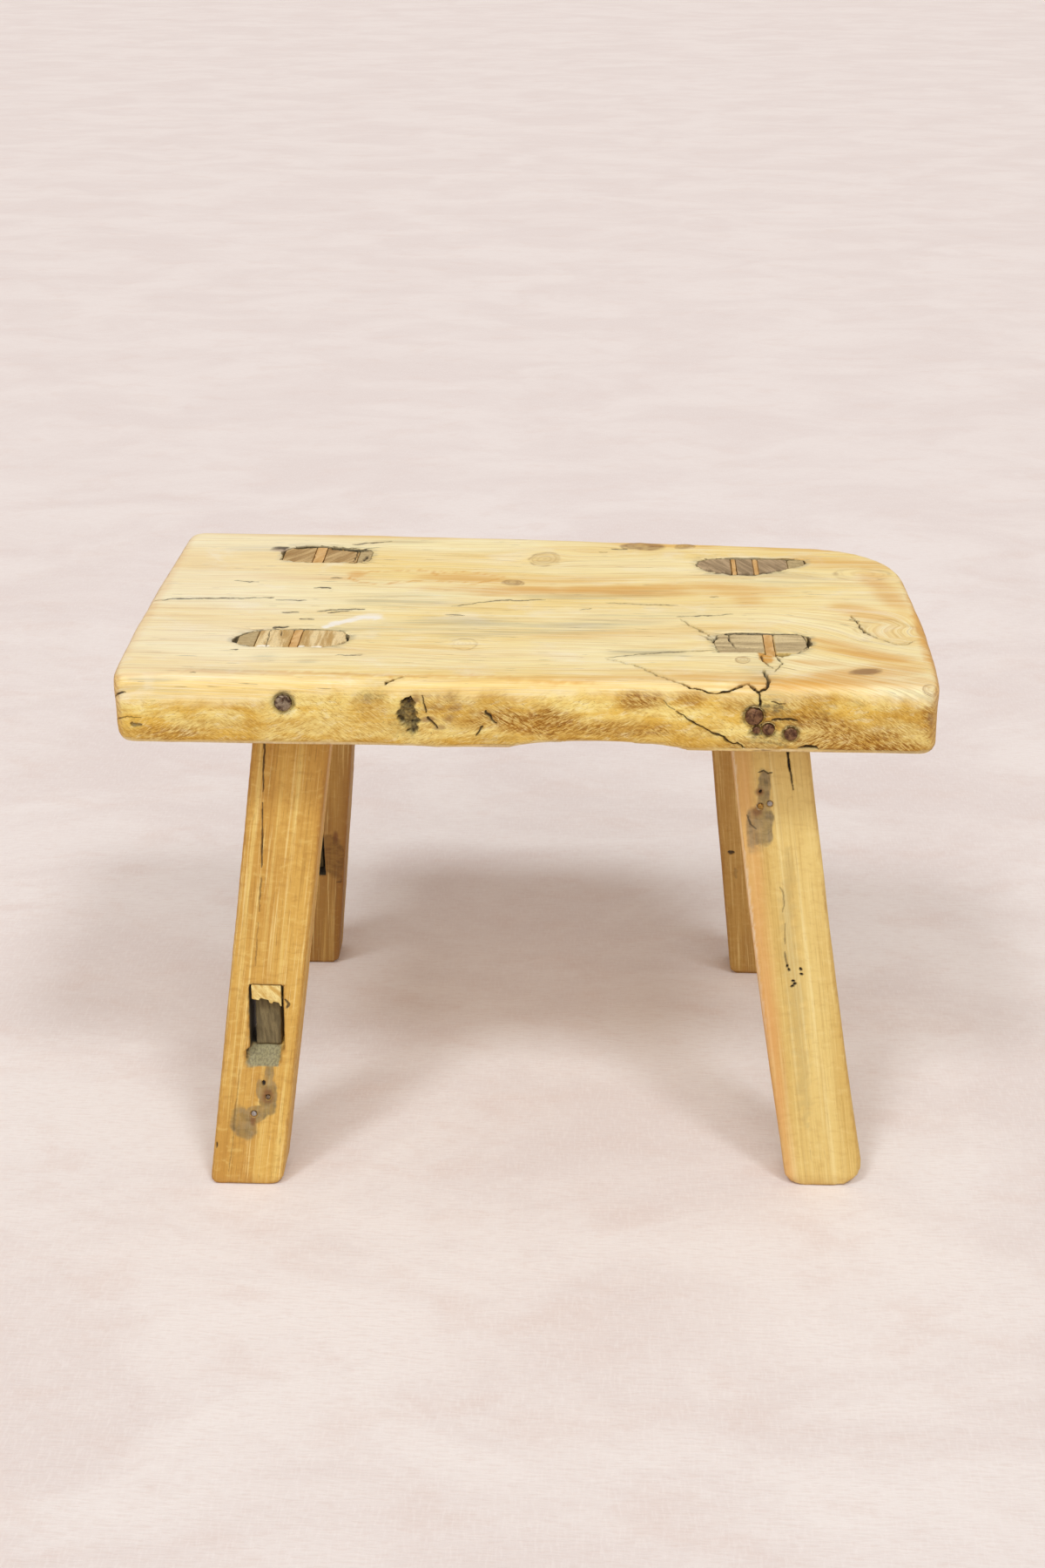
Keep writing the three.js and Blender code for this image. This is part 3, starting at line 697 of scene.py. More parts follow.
def seat_material():
    g = Graph("seat_wood")
    grain = g.attribute("grain", "Vector")
    spot = g.place()
    broad = g.pattern(grain, (4, 22, 22), 3, 0.5, 0.6)
    band = g.pattern(grain, (7, 120, 60), 4, 0.6, 0.5, shift=(3, 7, 1))
    mid = g.pattern(grain, (12, 300, 120), 4, 0.6, 0.3, shift=(7, 1, 6))
    line = g.pattern(grain, (14, 780, 260), 4, 0.65, shift=(5, 2, 9))
    fibre = g.pattern(grain, (70, 2400, 1500), 3, 0.6)
    thread = g.pattern(grain, (24, 1500, 700), 3, 0.6, shift=(2, 9, 2))
    mottle = g.pattern(spot, (30, 44, 44), 5, 0.65, 0.4, shift=(2, 2, 2))
    colour = g.mix(g.step(broad, 0.36, 0.66), tint("fff0b8"), tint("fade90"))
    flecks = g.pattern(grain, (55, 900, 300), 2, 0.5, shift=(1, 4, 4))
    hairs = g.pattern(grain, (16, 1500, 400), 3, 0.6, shift=(6, 2, 4))
    colour = g.layers(colour, (
        (band, 0.5, 0.72, 0.42, "edc475"),
        (mottle, 0.52, 0.7, 0.5, "fff3d2"),
        (mid, 0.53, 0.68, 0.26, "dfb369"),
        (mid, 0.47, 0.34, 0.35, "fff4cf"),
        (line, 0.55, 0.64, 0.34, "c49b5a"),
        (line, 0.47, 0.32, 0.3, "fff6dc"),
        (thread, 0.5, 0.66, 0.3, "d3a25a"),
        (thread, 0.46, 0.34, 0.3, "fff6da"),
        (flecks, 0.68, 0.73, 0.65, "7d6a4b"),
        (hairs, 0.62, 0.69, 0.34, "a08554"),
    ))
    # golden and spalted zones on the top
    amber = g.times(g.attribute("amber"), g.step(mid, 0.32, 0.62, 0.5, 1.0))
    colour = g.coat(colour, amber, "dfa244")
    streak = g.pattern(grain, (9, 330, 120), 4, 0.65, shift=(8, 1, 3))
    grey = g.times(g.attribute("grey"), g.step(streak, 0.4, 0.6, 0.15, 1.0))
    colour = g.coat(colour, g.times(grey, 0.85), "9f9678")
    # the fibrous front face
    fuzz = g.attribute("fuzz")
    lean = g.pattern(spot, (15, 1, 30), 2, 0.5, shift=(4, 0, 0))
    fall = g.pattern(spot, (290, 290, 1650), 4, 0.62, 0.3, turn=(0, 27, 0))
    rise = g.pattern(spot, (290, 290, 1650), 4, 0.62, 0.3, turn=(0, -34, 0), shift=(3, 3, 3))
    hair = g.mix(g.step(lean, 0.45, 0.55), fall, rise)
    face_broad = g.pattern(spot, (30, 34, 80), 5, 0.65, 0.6, shift=(9, 0, 5))
    face_fine = g.pattern(spot, (110, 110, 330), 4, 0.65, 0.4, turn=(0, 10, 0))
    face_colour = g.mix(g.step(face_broad, 0.4, 0.62), tint("f9e08a"), tint("e8bd54"))
    face_colour = g.layers(face_colour, (
        (face_fine, 0.5, 0.68, 0.5, "c99738"),
        (face_fine, 0.46, 0.34, 0.45, "fdf0bd"),
        (hair, 0.52, 0.64, 0.55, "b68732"),
        (hair, 0.45, 0.32, 0.3, "fdf0bd"),
    ))
    # tuft: darker fibrous patches and a browner lower edge, with painted shade in the burl's creases
    tuft = g.times(g.attribute("tuft"), g.step(hair, 0.38, 0.56, 0.35, 1.0))
    face_colour = g.coat(face_colour, tuft, "ad7519")
    core = g.times(g.step(g.attribute("tuft"), 0.55, 0.95), g.step(hair, 0.48, 0.62))
    face_colour = g.coat(face_colour, g.times(core, 0.6), "7c4d12")
    specks = g.pattern(spot, (700, 700, 900), 3, 0.6)
    face_colour = g.coat(face_colour, g.times(g.step(specks, 0.65, 0.71), 0.6), "7b5a2c")
    soil = g.pattern(spot, (380, 380, 380), 4, 0.7, shift=(1, 1, 1))
    face_colour = g.coat(face_colour, g.times(grey, g.step(soil, 0.42, 0.58, 0.4, 1.0)), "6d5f3c")
    colour = g.mix(fuzz, colour, face_colour)
    # knots, and the brown marks, among them painted shade in the burl's creases
    rings = g.math("SINE", g.times(g.attribute("ring"), 19.0))
    ringed = g.times(g.attribute("knot"), g.step(rings, 0.0, 0.9, 0.12, 1.0))
    colour = g.coat(colour, g.times(ringed, 0.42), "b9904f")
    colour = g.coat(colour, "brown", "8a5f38")
    # end grain, the underside, handling wear, and the dark marks with their painted shade
    pores = g.pattern(spot, (300, 900, 900), 3, 0.6)
    end = g.attribute("end")
    years = g.step(g.math("SINE", g.times(g.attribute("year"), 1.9)), -0.4, 0.95)
    colour = g.coat(colour, g.times(end, 0.55), "dcae62")
    colour = g.coat(colour, g.times(end, g.times(years, 0.5)), "b98440")
    colour = g.coat(colour, g.times(end, g.step(pores, 0.45, 0.7, 0.0, 0.45)), "8e6330")
    sawn = g.pattern(spot, (420, 14, 14), 3, 0.6)
    under = g.attribute("under")
    colour = g.coat(colour, g.times(under, g.step(sawn, 0.3, 0.7, 0.3, 0.75)), "b58d52")
    colour = g.coat(colour, "pale", "fdf8ec")
    # dark: the cracks, with their grime and painted shade; rust round the nails; and painted shade on the
    # mortise walls, in the chipped mouths and in the burl's hollow
    dark_mottle = g.pattern(spot, (900, 900, 900), 3, 0.6)
    colour = g.coat(colour, g.times(g.attribute("dark"), g.step(dark_mottle, 0.2, 0.6, 1.15, 0.85)), "261c14")
    height = g.add(g.times(line, 0.55), g.times(fibre, 0.35))
    height = g.add(height, g.times(g.times(fuzz, hair), 0.8))
    height = g.add(height, g.times(g.times(fuzz, face_fine), 0.9))
    height = g.add(height, g.times(g.times(under, sawn), 0.8))
    height = g.add(height, g.times(rings, g.times(g.attribute("knot"), 0.12)))
    rough = g.step(g.add(g.times(fuzz, 0.4), g.times(line, 0.6)), 0.1, 0.9, 0.5, 0.78)
    return g.finish(colour, rough, height, 0.0005, specular=0.35)


def make_seat():
    piece = dense("seat_slab", SEAT_GRID, seat_nearness, SEAT_BANDS)
    mesh = piece.data
    p = points_of(mesh) / MM
    n = normals_of(mesh)
    uv = seat_uv(p)
    flat = np.column_stack([uv, np.zeros(len(uv))])
    up = smooth(n[:, 2], 0.45, 0.8)
    ahead = smooth(-n[:, 1], 0.45, 0.8) * (p[:, 1] < FRONT + 8)
    shown = (n[:, 2] > -0.45) & (p[:, 2] > BOTTOM + 0.3)
    rim = rim_distance(p[:, :2])
    inside = np.zeros(len(p), bool)
    for tenon in TENONS.values():
        # the mortise walls lean with the legs, so a wide margin is taken
        inside |= np.all(np.abs(p[:, :2] - tenon.centre) < tenon.half + [9, 11], axis=1)
    walls = inside & (np.abs(n[:, 2]) < 0.6) & (p[:, 2] < TOP - 0.4) & (p[:, 2] > BOTTOM + 0.4)
    outside = ~walls

    # push is how far each point moves out along its normal, in mm
    push = 0.35 * noise(p, (70, 34, 30), 3, 2) * up
    push = push + 0.18 * noise(p, (40, 9, 12), 4, 2) * up
    push = push + ahead * (0.9 * noise(p, (46, 60, 17), 7, 2) + 0.35 * noise(p, (15, 20, 8), 8, 2))
    arris = np.clip(1 - np.abs(uv[:, 1] - (FRONT - 2)) / 12, 0, 1) * shown
    push = push + arris * (1.3 * noise(p, (38, 90, 90), 11, 2) - 0.2)
    low_arris = np.clip(1 - np.abs(uv[:, 1] - (FRONT - 36)) / 9, 0, 1) * shown
    push = push + low_arris * 1.1 * noise(p, (32, 90, 90), 12, 2)
    ends = smooth(np.abs(n[:, 0]), 0.4, 0.8) * (np.abs(p[:, 0]) > END - 8)
    push = push + ends * (0.7 * noise(p, (40, 26, 13), 13, 3))
    rear = smooth(n[:, 1], 0.4, 0.8) * (p[:, 1] > BACK - 24)
    push = push + rear * (0.9 * noise(p, (50, 40, 16), 14, 3))
    under = smooth(-n[:, 2], 0.4, 0.8)
    push = push + under * 0.4 * noise(p, (60, 18, 20), 15, 2)

    # the burl: a swelling with folds round a black hollow
    burl = np.hypot((uv[:, 0] - BURL_X) / 1.5, uv[:, 1] - face(0, 276)[1])
    swell = ahead * smooth(burl, 26, 4)
    folds = noise(p, (9, 9, 7), 21, 3)
    push = push + swell * (1.0 + 2.0 * folds)
    hollow = smooth(blob(uv, HOLLOW, (4.6, 8.8), 8, 0.6, 0.3, 22, 2.4), 0.25, 0.8) * shown
    push = push - hollow * (3.2 + 1.4 * noise(p, 2.4, 23, 2))

    # cracks are painted dark: the grime in them and painted shade inside them, with a faint darker halo
    # beside the wider ones
    dark, cut = np.zeros((2, len(p)))
    for i, (line, width, depth, darkness) in enumerate(CRACKS):
        mask = stroke(uv, line, width * 0.72, wobble=0.8, seed=i) * shown
        cut = np.maximum(cut, mask * depth)
        dark = np.maximum(dark, mask * darkness)
        halo = stroke(uv, line, width + 2.0, soft=0.8, wobble=0.8, seed=i) * shown
        dark = np.maximum(dark, halo * 0.12 * darkness * (width > 0.95))
    # one side of the long front crack has lifted a little
    lifted = blob(uv, (95, -96), (36, 24), -8, 0.1, 0.3, 30) * up
    push = push + 0.35 * lifted
    # painted shade: the hollow is painted near black inside
    dark = np.maximum(dark, hollow * np.clip(0.85 + 0.4 * noise(p, 1.8, 24, 2), 0.35, 1))

    # mortise mouths: worn and chipped, more on the sides where the tenons are slack
    chip = np.clip(0.5 + 0.9 * noise(p, (5, 3, 5), 41, 3), 0, 1)
    mouth = smooth(rim, 2.6, 0.3) * up
    push = push - mouth * chip * 0.9
    # painted shade: dark on the mortise walls and in the chipped gaps at each mouth's edge
    dark = highest(dark, smooth(rim, 1.3, 0.1) * up * smooth(chip, 0.35, 0.8) * 0.75, walls * 0.85)

    amber = shown * highest(
        patches(uv, AMBER, 0.45, 0.6, 50, 9.0),
        0.75 * stroke(uv, ARRIS_LINE, 3.4, 0.7, False, 1.5, 71)
        * np.clip(0.65 + 0.6 * noise(p, (30, 30, 30), 72, 2), 0, 1),
        *(0.85 * stroke(uv, edge, 1.6, 0.5, False, 1.2, 75 + i) for i, edge in enumerate(AMBER_OUTLINES)),
        0.7 * blob(uv, (-101, 37), (5, 6), 0, 0.3, 0.4, 79),
        stroke(uv, [(122, -74), (124, -85)], 7.5, 0.25, False, 0.8, 81),
    )
    grey = shown * highest(patches(uv, GREY, 0.5, 0.6, 90, 8.0), 0.65 * smooth(rim, 4.5, 0.5) * up)
    tuft = shown * highest(
        patches(uv, FUZZ, 0.6, 0.5, 120, 6.0),
        # painted shade: deeper amber where the burl's folds dip
        0.6 * swell * smooth(folds, 0.2, -0.3),
        0.9 * low_arris * np.clip(0.6 + 0.7 * noise(p, (16, 90, 90), 145, 2), 0, 1),
    )
    # the fibrous figure starts below a wavering line near the front edge
    start = FRONT - 3 + 4.5 * noise(flat, (38, 400, 1), 140, 3) + 2.5 * noise(flat, (5, 14, 1), 141, 2)
    start = start - 8 * smooth(uv[:, 0], -95, -150)
    fuzz = smooth(uv[:, 1], start + 2, start - 7) * shown

    knot, ring, brown, bend = np.zeros((4, len(p)))
    for i, (centre, radii, pull, darkness) in enumerate(KNOTS):
        d = (uv - centre) / radii
        r = np.hypot(d[:, 0], d[:, 1]) + 0.18 * noise(flat, 8.0, 150 + i, 2)
        mask = (1 - smooth(r, 0.85, 1.1)) * shown
        knot = np.maximum(knot, mask * min(1, 0.1 + darkness))
        ring = np.where(mask > 0.01, r, ring)
        edge = np.exp(-(((r - 0.95) / 0.09) ** 2)) * (0.4 + 0.6 * noise(flat, 5.0, 160 + i))
        brown = np.maximum(brown, np.clip(edge, 0, 1) * shown * min(0.9, darkness + 0.25))
        fill = max(darkness - 0.3, 0) * (0.9 + 0.4 * noise(flat, 3.0, 170 + i))
        brown = np.maximum(brown, mask * fill)
        push = push + 0.25 * mask - 0.5 * np.clip(edge, 0, 1) * shown
        # the grain lines part round each knot
        reach = 1.0 / (d[:, 0] ** 2 / 2.6 + d[:, 1] ** 2 + 0.35)
        bend = bend - pull * (uv[:, 1] - centre[1]) * np.clip(reach, 0, 1.6) * 0.55
    # painted shade: the burl's creases are painted brown, at these listed creases and wherever its folds dip
    creases = [
        blob(uv, face(x, z), (3.4, 1.6), 10, 0.5, 0.4, 182 + x % 7, 3.0)
        for x, z in ((-49, 274), (-37, 275), (-56, 284), (-42, 270), (-34, 281))
    ]
    right_edge = smooth(p[:, 0], END - 4.5, END - 1.5) * (p[:, 1] < FRONT + 12) * (p[:, 2] < TOP - 6)
    # the bottom edge is painted browner, the more so near x = 40 mm
    low_rim = smooth(p[:, 2], BOTTOM + 2.8, BOTTOM + 0.8) * (p[:, 1] < FRONT + 24) * outside
    low_rim_middle = smooth(np.abs(p[:, 0] - 40), 34, 22)
    brown = shown * highest(
        brown,
        0.45 * swell * smooth(folds, -0.3, -0.5),
        0.75 * blob(uv, (173, -99), (8, 4), 12, 0.25, 0.25, 181),
        0.6 * highest(*creases),
        0.7 * blob(uv, face(204, 279), (1.6, 4), 10, 0.4, 0.3, 190, 3.0),
        right_edge * (0.5 + 0.4 * noise(p, (9, 30, 6), 193, 2)),
        low_rim * (0.4 + 0.5 * low_rim_middle + 0.3 * noise(p, (9, 30, 9), 192, 2)),
        0.7 * blob(uv, (-149, 79), (6, 3.6), 0, 0.5, 0.4, 191, 3.0),
    )
    scrape = [(-108, -46), (-98, -37), (-90, -31), (-82, -33)]
    pale = up * highest(
        0.85 * stroke(uv, scrape, 5.2, 0.3, False, 1.0, 200),
        0.5 * blob(uv, (-86, -30), (7, 4.5), 15, 0.2, 0.2, 201),
        0.22 * smooth(p[:, 0], -80, -170),
        *(
            0.9 * stroke(uv, [(x0, -76.8), (x1, -76.4)], 1.8, 0.3, True, 0.4, 203 + x0)
            for x0, x1 in SEAT_SPLINTERS
        ),
    )

    # dents round the nails
    for x, z, size in NAIL_HEADS:
        d = np.hypot(uv[:, 0] - x, uv[:, 1] - face(x, z)[1])
        push = push - 0.8 * ahead * smooth(d, size / 2 + 2.5, size / 2)
        rusty_ring = np.exp(-(((d - size / 2 - 0.5) / 0.8) ** 2)) * ahead
        dark = np.maximum(dark, 0.75 * np.clip(rusty_ring * (0.8 + 0.5 * noise(p, 2.5, 210)), 0, 1))
    square = np.maximum(np.abs(uv[:, 0] - TOP_NAIL[0] + 0.3), np.abs(uv[:, 1] - TOP_NAIL[1]))
    dark = np.maximum(dark, 0.85 * smooth(square, 3.4, 2.6) * up)

    end = ends * outside
    # growth rings on the ends curve round a middle that was below the slab
    year = np.hypot(p[:, 1] - 12, p[:, 2] - 150) + 2.5 * noise(p, (60, 24, 24), 250, 2)
    p = p + n * (push * outside - cut)[:, None]
    for tenon in TENONS.values():
        # wear has rounded each mouth: its lip moves sideways, and takes the top round it along
        beyond, _, way, move = tenon.polar(p[:, :2])
        amount = move * smooth(beyond, 13, 0) * smooth(p[:, 2], TOP - 5.5, TOP - 2.5) * (beyond > -3)
        p[:, :2] += way * amount[:, None]
    write_points(mesh, p * MM)
    # right of the front right tenon the grain slopes towards the front corner
    bend = bend + 0.45 * np.clip(uv[:, 0] - 128, 0, None) * smooth(uv[:, 1], 10, -45)
    bent = uv[:, 1] + bend * shown + 2.2 * noise(flat, (90, 30, 1), 240, 2)
    grain = np.column_stack([p[:, 0], bent, p[:, 2] * 0.6]) * MM
    paint(mesh, "grain", grain)
    paint_all(
        mesh, dark=dark, amber=amber, grey=grey, tuft=tuft, fuzz=fuzz, knot=knot,
        ring=ring, brown=brown, pale=pale, end=end, year=year, under=under,
    )
    return place(piece, "seat_slab", seat_material())


# ---------------------------------------------------------------- legs

LEGS = {  # marks are at (x, z) on a leg's front: cracks as the seat's, stains as centre, radii and turn
    "leg_front_left": dict(
        seed=1, contrast=1.0, base=("d8aa52", "c4913f", "ecce7b"), rings=0, end=("c8a160", "f4daa2"),
        cracks=[
            ([(-137.4, 257), (-137.7, 240), (-138.4, 229), (-138.8, 219)], 0.8, 0.8, 0.8),
            ([(-139.2, 213), (-139.5, 206), (-139.9, 192), (-140.5, 178)], 0.8, 0.9, 0.85),
            ([(-140.8, 173), (-141.3, 166), (-142.2, 154)], 0.6, 0.5, 0.6),
            ([(-142.9, 148), (-144.0, 136), (-144.9, 124)], 0.5, 0.3, 0.4),
            ([(-154.6, 66), (-157.4, 44), (-159.6, 22), (-162.1, 7)], 0.6, 0.4, 0.35),
            ([(-141.6, 60), (-141.5, 57.4)], 1.4, 1.2, 1.0),
            ([(-168.2, 24), (-168.6, 21)], 1.5, 1.0, 0.9),
            ([(-129.2, 106), (-127.2, 103.5), (-128.4, 101)], 1.3, 0.8, 0.8),
        ],
        stains=[
            ((-139.4, 51), (4.9, 10.5), 0), ((-153.6, 35.4), (7.2, 9.3), 12), ((-146, 40.5), (6.5, 5), 30),
            ((-138.4, 63), (2.4, 8), -6), ((-143.8, 55), (2.2, 5.5), 0),
        ],
        rust=[((-148.1, 38), (1.5, 3.6)), ((-139.7, 51.2), (3, 4))],
        stain="75633f", stain_pale="8f7d5a", pits=[],
    ),
    "leg_front_right": dict(
        seed=2, contrast=0.5, base=("e4c679", "d3ae5f", "f3e0a0"), rings=90, end=("b7a074", "e3cc98"),
        cracks=[
            ([(137.0, 258), (137.1, 241), (138.4, 232)], 1.5, 2.0, 1.0),
            ([(138.3, 234), (139.4, 228), (140.9, 222)], 0.9, 1.0, 0.95),
            ([(121.8, 231.5), (125, 232.6), (127, 230.8), (129.4, 231.5)], 0.8, 0.5, 0.85),
            ([(135.6, 170), (137.2, 166.5), (138.2, 160), (137.6, 156)], 0.6, 0.3, 0.45),
            ([(139.2, 150), (139.2, 145), (139.6, 138)], 0.6, 0.3, 0.5),
            ([(139.4, 134), (140.4, 130), (141.4, 126)], 0.9, 0.3, 0.6),
            ([(116.4, 209), (118.6, 204), (121.8, 201)], 0.7, 0.3, 0.7),
        ],
        stains=[
            ((125.5, 217.5), (3.3, 14.0), 0), ((126.3, 203), (4.4, 11.5), 0),
            ((120.9, 200.5), (4.0, 10.5), 0),
        ],
        rust=[((123, 221), (2, 2)), ((122, 211), (2.4, 2.6))],
        stain="65573f", stain_pale="8a7a5c",
        pits=[
            (141.2, 125.9), (142.2, 123.9), (148.5, 124.3), (148.9, 121.6),
            (144.7, 117.6), (144.3, 114.6), (145.6, 116), (123.4, 221.2),
        ],
    ),
    "leg_back_left": dict(
        seed=3, contrast=0.8, base=("b98f47", "9a6c2e", "cfa95f"), rings=35, end=("ab8650", "d3b27a"),
        cracks=[([(-128, 66), (-118, 65.6)], 0.8, 0.4, 0.6)],
        stains=[((-128.5, 86), (8.5, 18), 14)], rust=[((-126.5, 101), (1.4, 4))],
        stain="6b4a1c", stain_pale="8f6a30", pits=[],
    ),
    "leg_back_right": dict(
        seed=4, contrast=0.8, base=("c2984f", "a97b38", "d6b26d"), rings=-28, end=("967e5c", "bfa37c"),
        cracks=[
            ([(119, 98.4), (121, 97.6), (123, 98)], 1.8, 0.8, 0.9),
            ([(124, 86), (125.4, 78)], 2.4, 0.2, 0.25),
        ],
        stains=[], rust=[], stain="6f624c", stain_pale="8a7a5c", pits=[],
    ),
}


def leg_axis(node):
    """The leg's middle at its top and at its foot, in mm."""
    p = points_of(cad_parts[node].data) / MM
    top = p[p[:, 2] > p[:, 2].max() - 0.5]
    foot = p[p[:, 2] < 0.5]
    return (top.min(0) + top.max(0)) / 2, (foot.min(0) + foot.max(0)) / 2


def leg_middle(z, top, foot):
    """The middle of a leg at each height."""
    return top + (foot - top) * ((top[2] - z) / (top[2] - foot[2]))[:, None]


def leg_material(node, data):
    g = Graph(node + "_wood")
    grain = g.attribute("grain", "Vector")
    s = data["seed"] * 7.0
    base, deep, pale = data["base"]
    force = data["contrast"]
    broad = g.pattern(grain, (40, 40, 5), 3, 0.5, 0.4, shift=(s, 0, 0))
    band = g.pattern(grain, (210, 210, 5), 4, 0.6, shift=(0, s, 0))
    line = g.pattern(grain, (900, 900, 14), 4, 0.65, shift=(0, 0, s))
    fibre = g.pattern(grain, (3200, 3200, 120), 3, 0.6)
    cross = g.pattern(grain, (150, 150, 330), 4, 0.58, 0.5, shift=(s, s, 0))
    colour = g.mix(g.step(broad, 0.36, 0.66), tint(base), tint(deep))
    pore = g.pattern(grain, (1300, 1300, 90), 2, 0.5, shift=(s, s, s))
    colour = g.layers(colour, (
        (band, 0.5, 0.68, 0.4 + 0.35 * force, pale),
        (line, 0.55, 0.66, 0.55 * force, "f6dc94"),
        (line, 0.47, 0.32, 0.5 * force, "a8782c"),
        (pore, 0.62, 0.7, 0.4 * force, "8f6426"),
        (cross, 0.5, 0.7, 0.34 * force, "b07c31"),
        (cross, 0.46, 0.32, 0.3 * force, pale),
    ))
    colour = g.coat(colour, "red", "dd9a5c")
    colour = g.coat(colour, "edge", "a87434")
    grey = g.times(g.attribute("grey"), g.step(line, 0.35, 0.6, 0.75, 1.0))
    stained = g.mix(g.step(cross, 0.4, 0.62), tint(data["stain"]), tint(data["stain_pale"]))
    colour = g.mix(g.times(grey, 0.94), colour, stained)
    colour = g.coat(colour, "rust", "7a4a22")
    # end grain of the tenon, with growth rings
    rings = g.pattern(grain, (260, 26, 1), 4, 0.6, 0.5, turn=(0, 0, data["rings"]), shift=(s, 0, 0))
    dots = g.pattern(grain, (1500, 1500, 40), 2, 0.5)
    low, high = data["end"]
    end_colour = g.mix(g.step(rings, 0.4, 0.62), tint(low), tint(high))
    end_colour = g.coat(end_colour, g.times(g.step(dots, 0.5, 0.7), 0.4), "7c6542")
    colour = g.mix(g.attribute("end"), colour, end_colour)
    # pale: white splinters on the front left tenon, and a painted highlight along the front right leg's left
    # arris
    colour = g.coat(colour, "pale", "fbf0d8")
    # inner: painted shade on the rail mortise's walls
    colour = g.coat(colour, "inner", "4f4633")
    colour = g.mix(g.attribute("lip"), colour, g.mix(g.step(line, 0.4, 0.6), tint("847a58"), tint("a0966c")))
    # dark: grime and painted shade in cracks and pits, and painted shade inside the seat, in the rail
    # mortise and in the open gaps
    colour = g.coat(colour, "dark", "241c15")
    height = g.add(g.times(line, 0.6), g.add(g.times(fibre, 0.35), g.times(cross, 0.25)))
    rough = g.step(band, 0.3, 0.7, 0.5, 0.72)
    return g.finish(colour, rough, height, 0.00035, specular=0.38)


